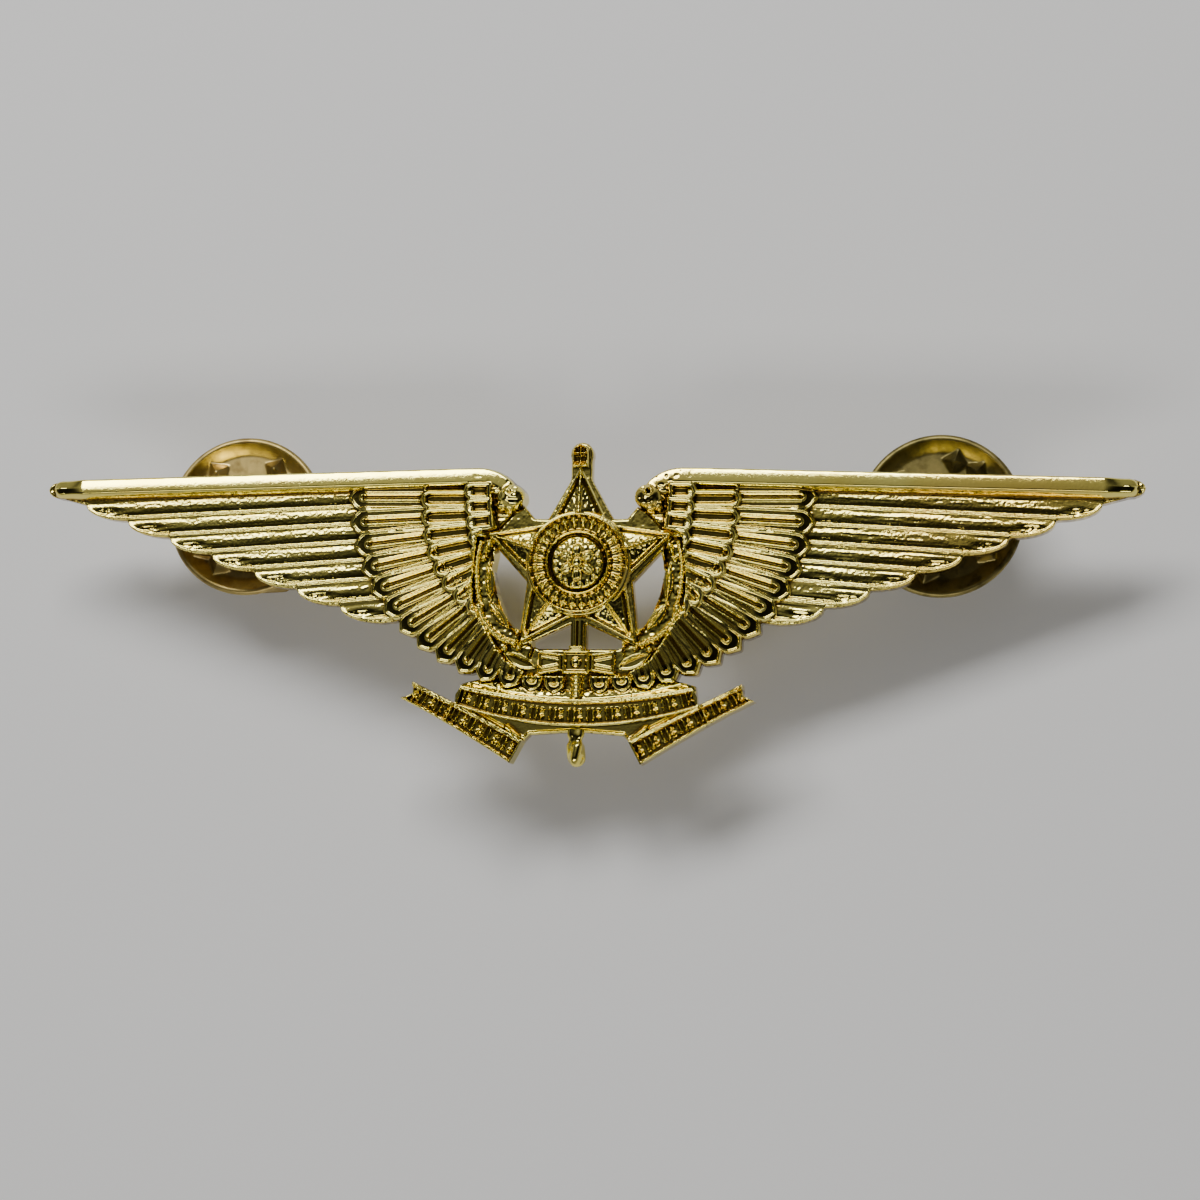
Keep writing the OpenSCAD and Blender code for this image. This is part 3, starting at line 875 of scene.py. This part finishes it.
def center_height(x, y):
    """The plate's face: the last long coverts, the bank over the ribbon and the tails' links"""
    ax = np.abs(x)
    surface = 0.03 * (noise(x, y, 0.5, 21) - 0.5) + 0.02 * noise(x, y, 0.15, 22)
    feathers = covert_field(ax, y, GREATER[GREATER_ON_WING - 2:], GREATER_TURN, 2.0,
                            greater_width, 0.66, True)
    surface = np.maximum(surface, feathers + 3 * np.minimum(BOW_Y - 0.95 - y, 0))
    to_ribbon = y - ARC_Y + np.sqrt(np.maximum(ARC_R ** 2 - ax ** 2, 0))
    bank = 0.42 - 0.5 * np.abs(to_ribbon - 0.45) + 0.06 * (noise(x, y, 0.25, 23) - 0.5)
    under = (to_ribbon > 0) & (to_ribbon < 1) & (ax < 8.2)
    surface = np.where(under, np.maximum(surface, bank), np.where(to_ribbon > 0, surface, 0.04))
    for path in ([(8.75, -9.8), (8.3, -10.4)], [(4.9, -11.5), (4.15, -12.15)]):
        link = path_distance(path, ax, y)[0]
        surface = np.maximum(surface, drop_off(0.30 + 0.26 * ridge(link, 0.12), 0.16 - link))
    border = -center_outline(x, y)
    lip = 0.14 * ridge(border - 0.12, 0.09) * (y < -10)
    return surface + lip - 0.14 * worn_edge(border, 0.16)


def center_polish(x, y):
    return np.where(y < -6, 0.9, 0.7)


def make_center_plate():
    sink = 0.02
    badge_piece("center_plate", center_outline, center_height, (-9, -12.7, 9, 9),
                center_polish, bottom=-PLATE_T + sink)


# ---- star and medallion ----

def star_height(x, y):
    """Facets that rise to a ridge on each arm, inside a raised border"""
    radius = np.hypot(x, y)
    edge = -polygon_distance(star_points(STAR_R, STAR_INNER), x, y)
    angle = np.arctan2(x, y)
    fold = angle - np.round(angle / math.radians(72)) * math.radians(72)
    across = np.abs(radius * np.sin(fold))
    facet = STAR_BASE - 0.04 + 0.34 * edge - 0.06 * np.sin(math.pi * np.clip(edge / 1.3, 0, 1))
    border = 0.20 * ridge(edge - 0.09, 0.075)
    groove = 0.16 * ridge(edge - 0.30, 0.09)
    spine = 0.24 * ridge(across, 0.075) * smooth_step(0.1, 0.45, edge)
    grain = 0.06 * (noise(x, y, 0.15, 31) - 0.5) * smooth_step(0.3, 0.5, edge)
    surface = drop_off(facet + border - groove + spine + grain, edge)
    collar = 0.86 - 0.5 * np.clip((radius - RING_R - 0.05) / 0.16, 0, 1) ** 2
    collar = drop_off(collar, RING_R + 0.2 - radius)
    surface = np.maximum(surface, collar)
    return np.where(radius < RING_R - 0.1, STAR_BASE, surface)


def star_outline(x, y):
    points = polygon_distance(star_points(STAR_R, STAR_INNER), x, y)
    return np.minimum(points, np.hypot(x, y) - RING_R - 0.2) - 0.02


def around_center(reach):
    return (-reach, -reach, reach, reach)


def make_star():
    badge_piece("star", star_outline, star_height, around_center(STAR_R + 0.2), 0.6, step=0.05)


TEETH = 28
PETALS = 6
BEADS = 18


def ring_height(x, y):
    """Two rims with a plain repeat of bars and beads between them"""
    radius, angle = np.hypot(x, y), np.arctan2(y, x)
    field = STAR_BASE + 0.34
    rim = 0.44 * ridge(radius - RING_R + 0.13, 0.10)
    inner = 0.46 * ridge(radius - BOSS_R - 0.22, 0.13)
    phase = (angle / (2 * math.pi) * TEETH) % 1 - 0.5
    arc = phase * 2 * math.pi * radius / TEETH
    pearl = 0.36 * np.clip(1 - np.hypot(arc, radius - 3.06) / 0.26, 0, 1) ** 0.5
    bar = 0.26 * ridge(arc, 0.11) * smooth_step(2.44, 2.54, radius) * smooth_step(2.95, 2.8, radius)
    return field + np.maximum(np.maximum(rim, inner), np.maximum(pearl, bar))


def ring_outline(x, y):
    radius = np.hypot(x, y)
    return np.maximum(radius - RING_R, BOSS_R - radius)


def make_ring():
    badge_piece("medallion_ring", ring_outline, ring_height, around_center(RING_R + 0.1), 0.9,
                bottom=STAR_BASE - 0.02, step=0.035)


def boss_height(x, y):
    """A dome with a plain rosette: a stud, a ring of petals and a ring of beads"""
    radius = np.hypot(x, y)
    base = STAR_BASE + 0.42 + 0.40 * dome(radius, BOSS_R + 0.25)
    stud = 0.24 * dome(radius, 0.34)
    petals = np.zeros(x.shape)
    for k in range(PETALS):
        a = 2 * math.pi * (k + 0.5) / PETALS
        u, v = turned(x, y, (0.88 * math.cos(a), 0.88 * math.sin(a)), a)
        size = np.hypot(u / 0.46, v / 0.36)
        petals = np.maximum(petals, 0.26 * dome(size, 1) - 0.10 * ridge(v, 0.06))
    beads = np.zeros(x.shape)
    for k in range(BEADS):
        a = 2 * math.pi * k / BEADS
        to_bead = np.hypot(x - 1.58 * math.cos(a), y - 1.58 * math.sin(a))
        beads = np.maximum(beads, 0.13 * dome(to_bead, 0.17))
    groove = 0.3 * ridge(radius - BOSS_R + 0.03, 0.09)
    grain = 0.05 * (noise(x, y, 0.2, 41) - 0.5)
    return base + np.maximum(np.maximum(stud, petals), beads) + grain - groove


def make_boss():
    badge_piece("medallion_boss", lambda x, y: np.hypot(x, y) - BOSS_R + 0.01, boss_height,
                around_center(BOSS_R + 0.1), 0.9, bottom=STAR_BASE - 0.02, step=0.03)


# ---- sword and bow ----

def finial_distance(x, y):
    """Signed distance to the framed piece above the star, with its round top"""
    return np.minimum(box_distance(x, y, (0, FINIAL_Y), (0.56, 0.5)),
                      np.hypot(x, y - CAP_Y) - 0.56)


def sword_outline(x, y):
    return np.minimum(box_distance(x, y, (0, -5.0), (0.42, 1.0)), finial_distance(x, y))


def sword_height(x, y):
    """The blade's two flats and fuller, and the framed window at the sword's tip"""
    blade = 0.68 - 0.30 * np.abs(np.abs(x) - 0.22) - 0.16 * ridge(x, 0.08)
    edge = -finial_distance(x, y)
    window = 0.42 + 0.42 * ridge(edge - 0.07, 0.09) + 0.34 * ridge(x, 0.085)
    window = window + 0.30 * ridge(y - 7.02, 0.1) + 0.16 * ridge(y - CAP_Y, 0.07)
    return np.where(y > 0, window, blade)


def make_sword():
    badge_piece("sword", sword_outline, sword_height, (-0.8, -6.2, 0.8, 8.6), 0.9, step=0.04)
    grip = twisted_rod("sword_grip", (0, -7.8, 0.32), (0, -9.85, 0.32),
                       radius=0.50, lobes=1, pitch=0.46, rounded=False)
    pommel = twisted_rod("sword_pommel", (0, -11.55, -0.10), (0, POMMEL_END, -0.10),
                         radius=0.70, lobes=3, pitch=3.6, rounded=True)
    for rod in (grip, pommel):
        dress(rod, "badge", GOLD, "gold_plate", "sword")


def twisted_rod(name, start, end, radius, lobes, pitch, rounded):
    """A rod along Y with spiral lobes; a rounded one has a waist and narrows to a cap"""
    depth = 0.13
    around, rows = 72, 90
    length = math.dist(start, end)
    bm = bmesh.new()
    rings = []
    for j in range(rows + 1):
        t = j / rows
        y = start[1] + (end[1] - start[1]) * t
        left = (1 - t) * length / radius
        waist = 0.24 * math.exp(-((t - 0.30) / 0.09) ** 2) + 0.10 * max(0.3 - t, 0) / 0.3
        swell = 1 - waist if rounded else 1
        cap = math.sqrt(max(1 - (1 - min(left, 1)) ** 2, 0.0016)) if rounded else 1
        ring = []
        for i in range(around):
            a = 2 * math.pi * i / around
            twist = math.cos(lobes * a + 2 * math.pi * y / pitch)
            r = radius * swell * cap * (1 - depth + depth * twist)
            place = (start[0] + r * math.cos(a), y + CENTER_Y, start[2] + FRONT_Z + r * math.sin(a))
            ring.append(bm.verts.new([c * MM for c in place]))
        rings.append(ring)
    add_tube(bm, rings)
    rod = finish_bmesh(bm, name, 180)
    paint_plain(rod.data)
    return rod


def paint_plain(mesh):
    """Finish colours for a piece with no relief map: no painted hollow shade, fully polished"""
    colours = mesh.color_attributes.new("finish", "FLOAT_COLOR", "POINT")
    plain = np.tile(np.array([0.5, 0.9, 0.5, 1], np.float32), len(mesh.vertices))
    colours.data.foreach_set("color", plain)


def bow_parts(x, y):
    """Signed distances to the bow's knot and to its loops"""
    ax, dy = np.abs(x), y - BOW_Y
    knot = box_distance(x, dy, (0, 0), (0.95, 0.82))
    knot = np.minimum(knot, box_distance(x, dy, (0, 0.95), (0.5, 0.2)))
    half = 0.60 + 0.28 * np.clip((ax - 0.98) / 1.75, 0, 1)
    loop = np.maximum(np.abs(dy) - half, np.maximum(ax - 2.73, 1.0 - ax))
    return knot, loop


def bow_height(x, y):
    ax, dy = np.abs(x), y - BOW_Y
    knot, loop = bow_parts(x, y)
    stud = np.hypot(x, dy)
    center = 0.84 + 0.26 * ridge(knot + 0.11, 0.10)
    center = center + 0.34 * dome(stud, 0.36)
    side = 0.62 + 0.26 * ridge(loop + 0.11, 0.10) - 0.12 * np.clip((ax - 1.0) / 1.7, 0, 1)
    fan = np.abs(dy) - 0.12 - 0.20 * (ax - 1.0)
    side = side + 0.12 * ridge(fan, 0.08) * smooth_step(0.15, 0.35, -loop)
    return np.maximum(drop_off(center, -knot), drop_off(side, -loop))


def make_bow():
    badge_piece("guard_bow", lambda x, y: np.minimum(*bow_parts(x, y)), bow_height,
                (-2.9, BOW_Y - 1.1, 2.9, BOW_Y + 1.1), 1.0, step=0.04)


# ---- branches beside the openings ----

# Leaves have a centre, angle, length and width; berries have a centre and a radius
STEM = [(7.0, 1.5), (7.2, 0.6), (7.28, -0.5), (7.2, -1.7), (7.0, -2.7)]
CRESCENT = [(7.0, -3.3), (6.7, -4.0), (6.1, -4.75), (5.4, -5.3), (4.5, -5.65)]
LEAVES = (((6.45, 1.05), 100, 1.5, 0.5), ((6.32, -1.25), 86, 2.9, 0.72),
          ((5.62, -3.62), 53, 2.5, 0.82))
BERRIES = (((7.0, -3.05), 0.34), ((5.1, -6.0), 0.26), ((4.1, -5.95), 0.24), ((6.75, 0.35), 0.22))
DARK_LEAF = ((4.02, -6.86), 24, 2.5, 0.95)


def branch_parts(x, y):
    """Each part of the branch as its distance outside and its surface"""
    parts = []
    for center, angle, length, width in LEAVES:
        outside = leaf_distance(x, y, center, math.radians(angle), length, width)
        v = turned(x, y, center, math.radians(angle))[1]
        surface = 0.30 + 0.36 * np.clip(-outside / (width / 2), 0, 1) ** 0.6 + 0.10 * ridge(v, 0.06)
        parts.append((outside, surface + 0.10 * ridge(outside + 0.06, 0.06)))
    for path, half, rise in ((STEM, 0.19, 0.30), (CRESCENT, 0.26, 0.42)):
        distance, side, along = path_distance(path, x, y)
        beads = 0.07 * np.cos(2 * math.pi * along / 0.36 + 3 * side * distance)
        parts.append((distance - half, 0.32 + rise * dome(distance, half) + beads))
    for (bx, by), size in BERRIES:
        distance = np.hypot(x - bx, y - by)
        parts.append((distance - size, 0.45 + 0.5 * dome(distance, size)))
    center, angle, length, width = DARK_LEAF
    outside = leaf_distance(x, y, center, math.radians(angle), length, width)
    v = turned(x, y, center, math.radians(angle))[1]
    smooth_top = 0.52 + 0.30 * smooth_step(0.05, 0.3, v) + 0.10 * ridge(outside + 0.06, 0.06)
    parts.append((outside, smooth_top))
    return parts


def branch_outline(x, y):
    whole, *others = [outside for outside, _ in branch_parts(x, y)]
    for outside in others:
        whole = smooth_min(whole, outside, 0.05)
    return whole


def branch_height(x, y):
    surface = np.full(x.shape, -9.0)
    for outside, top in branch_parts(x, y):
        surface = np.maximum(surface, drop_off(top, -outside))
    return np.maximum(surface, 0.06)


def make_branch(side):
    side_piece(side, "branch", branch_outline, branch_height, (2.4, -8.0, 7.8, 2.2), 0.95,
               step=0.045)


# ---- ribbons ----

MOTIF_LENGTH = 1.3


def motif(u, v):
    """A plain repeat of two uprights and a pair of studs, from 0 to 1"""
    phase = (u / MOTIF_LENGTH) % 1 * MOTIF_LENGTH
    tall = smooth_step(0.46, 0.38, np.abs(v))
    uprights = np.maximum(ridge(phase - 0.24, 0.065), ridge(phase - 0.60, 0.065)) * tall
    studs = np.zeros(u.shape)
    for height in (-0.25, 0.25):
        studs = np.maximum(studs, ridge(np.hypot(phase - 0.98, v - height), 0.12))
    return np.maximum(uprights, studs)


def scroll_height(u, v, floor, top, low, seed):
    """A ribbon's face between its two edges: a broad upper border, a thin lower one,
    and a deep field with the motif"""
    above, below = top - v, v - low
    border = 0.46 * np.maximum(smooth_step(0.36, 0.26, above), smooth_step(0.22, 0.15, below))
    border = border - 0.07 * ridge(above - 0.20, 0.035)
    border = border - 0.14 * worn_edge(np.minimum(above, below), 0.09)
    grain = 0.05 * (noise(u, v, (0.22, 0.3), seed) - 0.5)
    return floor + border + 0.30 * motif(u, v - 0.06) + grain


def center_ribbon_axes(x, y):
    """Coordinates along and across the curved ribbon"""
    radius = np.hypot(x, y - ARC_Y)
    return np.arctan2(x, ARC_Y - y) * ARC_R, ARC_R + RIBBON_W / 2 - radius


def center_ribbon_top(u):
    """The ribbon's upper edge, which stands further up near its middle"""
    return RIBBON_W / 2 + RIBBON_SWELL * np.clip(1 - (u / 8.3) ** 2, 0, 1)


def center_ribbon_outline(x, y):
    u, v = center_ribbon_axes(x, y)
    end = ARC_HALF * ARC_R - 0.25 * np.abs(v) + 0.1
    sides = np.maximum(v - center_ribbon_top(u), -v - RIBBON_W / 2)
    return np.maximum(sides, np.abs(u) - end)


def center_ribbon_height(x, y):
    """The ribbon's face, with a curl at each end"""
    u, v = center_ribbon_axes(x, y)
    shifted = u + 30 * MOTIF_LENGTH - 0.6
    face = scroll_height(shifted, v, 0.40, center_ribbon_top(u), -RIBBON_W / 2, 51)
    end = ARC_HALF * ARC_R - np.abs(u)
    curl = 0.40 * smooth_step(0.26, 0.14, end)
    sag = 0.10 * smooth_step(1.6, 0.2, end)
    return np.maximum(face, 0.42 + curl) - sag


def make_center_ribbon():
    badge_piece("center_ribbon", center_ribbon_outline, center_ribbon_height,
                (-8.9, -12, 8.9, -8.3), 0.75, step=0.04)


def tail_height(x, y):
    """The tail's face, with a rim at its inner end, a fold and a notched outer border"""
    u, v = tail_axes(x, y)
    half = tail_half(u)
    face = scroll_height(u + 0.5, v, 0.14, half, -half, 61)
    inner = 0.46 * smooth_step(0.20, 0.12, u)
    fold = 0.26 * ridge(u - 5.55, 0.09) + 0.08 * smooth_step(5.45, 5.65, u)
    border = 0.22 * ridge(-tail_distance(x, y) - 0.07, 0.08) * smooth_step(7.6, 8.4, u)
    return np.maximum(face, 0.14 + inner) + fold + border


def make_tail(side):
    side_piece(side, "ribbon", tail_distance, tail_height, (3.4, -14.2, 13.2, -7.9), 0.75,
               bottom=-PLATE_T, step=0.045)


# ---- clutches ----

# Millimetres and degrees; depths are measured down from the disc's face
SHEET_T = 0.3
SPIKE_W = 1.4
SPIKE_H = 0.85
TURNS = {"left": 3, "right": 19}
JAW_R = 0.58
JAW_TOP = 1.05
JAW_END = 2.5
HINGE_Y = 2.7
HINGE_DEPTH = 2.9
LEVER_W = 3.7
LEVER_T = 0.4
LEVER_TURN = math.radians(50)
SPRING_R = 1.65
SPRING_WIRE = 0.18
SPRING_DEPTH = 1.35


def revolve(bm, profile, around, place, shift):
    """Turns a closed profile of (radius, height) round Z; shift moves each point up or down"""
    rings = []
    for i in range(around):
        a = 2 * math.pi * i / around
        ring = []
        for r, z in profile:
            spot = (place[0] + r * math.cos(a), place[1] + r * math.sin(a),
                    place[2] + z + shift(r, a))
            ring.append(bm.verts.new([c * MM for c in spot]))
        rings.append(ring)
    for i in range(around):
        a, b = rings[i], rings[(i + 1) % around]
        for k in range(len(profile)):
            n = (k + 1) % len(profile)
            bm.faces.new((a[k], b[k], b[n], a[n])).smooth = True


def finish_bmesh(bm, name, sharp_angle):
    """Closes a bmesh into an object, with sharp edges where faces meet steeply"""
    bmesh.ops.recalc_face_normals(bm, faces=bm.faces)
    limit = math.radians(sharp_angle)
    for edge in bm.edges:
        if len(edge.link_faces) == 2 and edge.calc_face_angle(0) > limit:
            edge.smooth = False
    mesh = bpy.data.meshes.new(name)
    bm.to_mesh(mesh)
    bm.free()
    return add_object(name, mesh)


def clutch_place(side):
    """The clutch's centre, the height of its disc's face, and the disc's radius"""
    low, high = node_box(f"{side}_disc")
    return (low[0] + high[0]) / 2, (low[1] + high[1]) / 2, low[2] + SHEET_T, (high[0] - low[0]) / 2


def make_disc(side, brass):
    """A dished disc with a rolled rim and four pairs of pyramid spikes"""
    cx, cy, face_z, outer = clutch_place(side)
    hole, rim_r, rise = 0.65, 0.28, 0.5
    bend = outer - 1.3
    centers = [math.radians(TURNS[side] + 45 + 90 * pair + off)
               for pair in range(4) for off in (-12, 12)]
    spike_at = 0.77 * outer - 0.45
    top = [(hole + (bend - hole) * k / 44, 0.0) for k in range(45)]
    dish = [(bend + (outer - rim_r - bend) * k / 12, rise * (k / 12) ** 1.4) for k in range(1, 12)]
    rim_z = rise - SHEET_T / 2
    roll = [(outer - rim_r + rim_r * math.cos(a), rim_z + rim_r * math.sin(a))
            for a in np.radians(np.linspace(118, -118, 16))]
    under = [(r, z - SHEET_T) for r, z in reversed(top + dish)]

    def spike(r, a):
        height = 0.0
        for center in centers:
            dx, dy = r * math.cos(a - center) - spike_at, r * math.sin(a - center)
            level = 1 - (abs(dx) + abs(dy)) / (SPIKE_W / math.sqrt(2))
            height = max(height, SPIKE_H * min(level, 0.9))
        crease = 0.05 * math.exp(-((r - 2.1) / 0.12) ** 2)
        return height - crease if r < outer - rim_r - 0.3 else 0

    bm = bmesh.new()
    revolve(bm, top + dish + roll + under, 300, (cx, cy, face_z), spike)
    piece = finish_bmesh(bm, f"{side}_disc_shell", 32)
    dress(piece, f"{side}_clutch", brass, f"{side}_clutch_brass", f"{side}_disc")


def clutch_frame(side, mirrored):
    """Turns the clutch's own millimetres, where Z runs down from the disc, into metres"""
    cx, cy, face_z = clutch_place(side)[:3]
    c, s = math.cos(math.radians(TURNS[side])), math.sin(math.radians(TURNS[side]))
    flip = 1 if mirrored else -1

    def point(x, y, z):
        return Vector((cx + x * c - flip * y * s, cy + x * s + flip * y * c, face_z - z)) * MM

    return point


def add_rows(bm, rows, closed):
    """Faces between neighbouring rows of vertices; a closed row joins its ends"""
    width = len(rows[0])
    for a, b in zip(rows, rows[1:]):
        for i in range(width if closed else width - 1):
            k = (i + 1) % width
            bm.faces.new((a[i], a[k], b[k], b[i])).smooth = True


def add_tube(bm, rows):
    """A closed tube through rings of vertices, with flat ends"""
    add_rows(bm, rows, True)
    bm.faces.new(rows[0])
    bm.faces.new(rows[-1])


def add_block(bm, point, low, high):
    """A box with softened edges"""
    corners = [[bm.verts.new(point(x, y, z)) for x, y in ((low[0], low[1]), (high[0], low[1]),
                                                           (high[0], high[1]), (low[0], high[1]))]
               for z in (low[2], high[2])]
    add_tube(bm, corners)
    edges = {e for row in corners for v in row for e in v.link_edges}
    bmesh.ops.bevel(bm, geom=list(edges), offset=0.06 * MM, segments=2, profile=0.6, affect="EDGES")


def add_jaw(bm, point):
    """Half a collar round the post"""
    section = ((JAW_R, JAW_TOP + 0.05), (JAW_R + 0.07, JAW_TOP), (0.94, JAW_TOP), (1.0, JAW_TOP + 0.06),
               (1.0, JAW_END - 0.05), (0.95, JAW_END), (JAW_R + 0.05, JAW_END), (JAW_R, JAW_END - 0.05))
    rows = [[bm.verts.new(point(r * math.cos(a), r * math.sin(a), z)) for r, z in section]
            for a in np.radians(np.linspace(10, 170, 33))]
    add_tube(bm, rows)


def add_roll(bm, point):
    """The rolled sheet round the lever's hinge, with a seam along it"""
    rows = []
    for x, r in ((-LEVER_W / 2, 0.26), (-LEVER_W / 2 + 0.06, 0.32), (LEVER_W / 2 - 0.06, 0.32),
                 (LEVER_W / 2, 0.26)):
        rows.append([])
        for k in range(32):
            a = 2 * math.pi * k / 32
            grooved = r - 0.05 * math.exp(-((a - 1.2) / 0.12) ** 2)
            rows[-1].append(bm.verts.new(point(x, HINGE_Y + grooved * math.cos(a),
                                               HINGE_DEPTH + grooved * math.sin(a))))
    add_tube(bm, rows)


def add_paddle(bm, point, length):
    """The wing to squeeze: rounded corners, softened edges and a pressed oval"""
    cs, sn = math.cos(LEVER_TURN), math.sin(LEVER_TURN)
    rows, across, corner = 28, 24, 0.8
    layers = []
    for face in (1, -1):
        layer = []
        for j in range(rows + 1):
            u = length * j / rows
            cut = max(u - (length - corner), 0)
            half = LEVER_W / 2 - corner + math.sqrt(max(corner ** 2 - cut ** 2, 0))
            row = []
            for i in range(across + 1):
                t = 2 * i / across - 1
                rim = min(half * (1 - abs(t)), length - u)
                thick = LEVER_T / 2 * (0.55 + 0.45 * min(rim / 0.12, 1))
                oval = math.hypot(half * t / 1.15, (u - 0.58 * length) / 0.85)
                press = -0.10 * float(smooth_step(1.15, 0.85, np.float64(oval)))
                h = face * thick + press
                row.append(bm.verts.new(point(half * t, HINGE_Y + u * cs - h * sn,
                                              HINGE_DEPTH + u * sn + h * cs)))
            layer.append(row)
        layers.append(layer)
        add_rows(bm, layer, False)
    top, low = layers
    for a, b in ((top[0], low[0]), (top[-1], low[-1]), ([r[0] for r in top], [r[0] for r in low]),
                 ([r[-1] for r in top], [r[-1] for r in low])):
        add_rows(bm, [a, b], False)


def make_lever(side, which, brass):
    """One stamped lever: jaw, arm, rolled hinge and paddle, which reaches down to the paper"""
    point = clutch_frame(side, which == "upper")
    depth = clutch_place(side)[2] - HINGE_DEPTH
    length = (depth - LEVER_T / 2 * math.cos(LEVER_TURN)) / math.sin(LEVER_TURN)
    bm = bmesh.new()
    add_jaw(bm, point)
    add_block(bm, point, (-0.9, 0.8, JAW_END - LEVER_T), (0.9, HINGE_Y, JAW_END))
    add_block(bm, point, (-0.9, HINGE_Y - 0.3, JAW_END - 0.1), (0.9, HINGE_Y, HINGE_DEPTH))
    add_roll(bm, point)
    add_paddle(bm, point, length)
    piece = finish_bmesh(bm, f"{side}_{which}_lever_shell", 45)
    dress(piece, f"{side}_{which}", brass, "lever_brass", f"{side}_{which}_lever")


def make_jaw_spring(side, steel):
    """An open ring of wire round the jaws, with its two ends turned out"""
    angles = np.radians(np.linspace(25, 335, 72))
    path = [(SPRING_R * math.cos(a), SPRING_R * math.sin(a)) for a in angles]
    first, last = path[0], path[-1]
    path = [(first[0] + 0.22, first[1] - 0.05)] + path + [(last[0] + 0.22, last[1] + 0.05)]
    point = clutch_frame(side, False)
    bm = bmesh.new()
    rows = []
    for k, (x, y) in enumerate(path):
        before, after = path[max(k - 1, 0)], path[min(k + 1, len(path) - 1)]
        along = math.atan2(after[1] - before[1], after[0] - before[0])
        end = k in (0, len(path) - 1)
        wire = SPRING_WIRE * (0.8 if end else 1)
        rows.append([])
        for a in np.linspace(0, 2 * math.pi, 16, endpoint=False):
            out = wire * math.cos(a)
            rows[-1].append(bm.verts.new(point(x - out * math.sin(along), y + out * math.cos(along),
                                               SPRING_DEPTH + wire * math.sin(a))))
    add_tube(bm, rows)
    piece = finish_bmesh(bm, f"{side}_spring_wire", 60)
    dress(piece, f"{side}_spring", steel, "spring_steel", f"{side}_jaw_spring")


make_camera()
make_light()
make_floor()
GOLD = gold_material("gold_plate")
LEFT_BRASS = brass_material("left_clutch_brass", (0.62, 0.47, 0.17), (0.24, 0.19, 0.06),
                            (0.16, 0.09, 0.03), 3, 0.6)
RIGHT_BRASS = brass_material("right_clutch_brass", (0.36, 0.29, 0.10), (0.10, 0.09, 0.03),
                             (0.05, 0.04, 0.015), 11, 0.7)
LEVER_BRASS = brass_material("lever_brass", (0.64, 0.50, 0.22), (0.42, 0.32, 0.12),
                             (0.25, 0.16, 0.05), 7, 0.4)
POST_BRASS = brass_material("post_brass", (0.70, 0.53, 0.20), (0.50, 0.37, 0.13),
                            (0.3, 0.18, 0.05), 5, 0.3)
SOLDER = steel_material("solder", (0.62, 0.56, 0.42))
STEEL = steel_material("spring_steel", (0.55, 0.55, 0.56))
for side in ("left", "right"):
    make_wing(side)
    make_branch(side)
    make_tail(side)
make_center_plate()
make_star()
make_ring()
make_boss()
make_sword()
make_bow()
make_center_ribbon()
for side, clutch_brass in (("left", LEFT_BRASS), ("right", RIGHT_BRASS)):
    make_disc(side, clutch_brass)
    make_lever(side, "upper", LEVER_BRASS)
    make_lever(side, "lower", LEVER_BRASS)
    make_jaw_spring(side, STEEL)
    for kind, material in (("post", POST_BRASS), ("solder", SOLDER), ("cage", clutch_brass)):
        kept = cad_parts[f"{side}_{kind}"]
        kept.data.materials.clear()
        kept.data.materials.append(material)
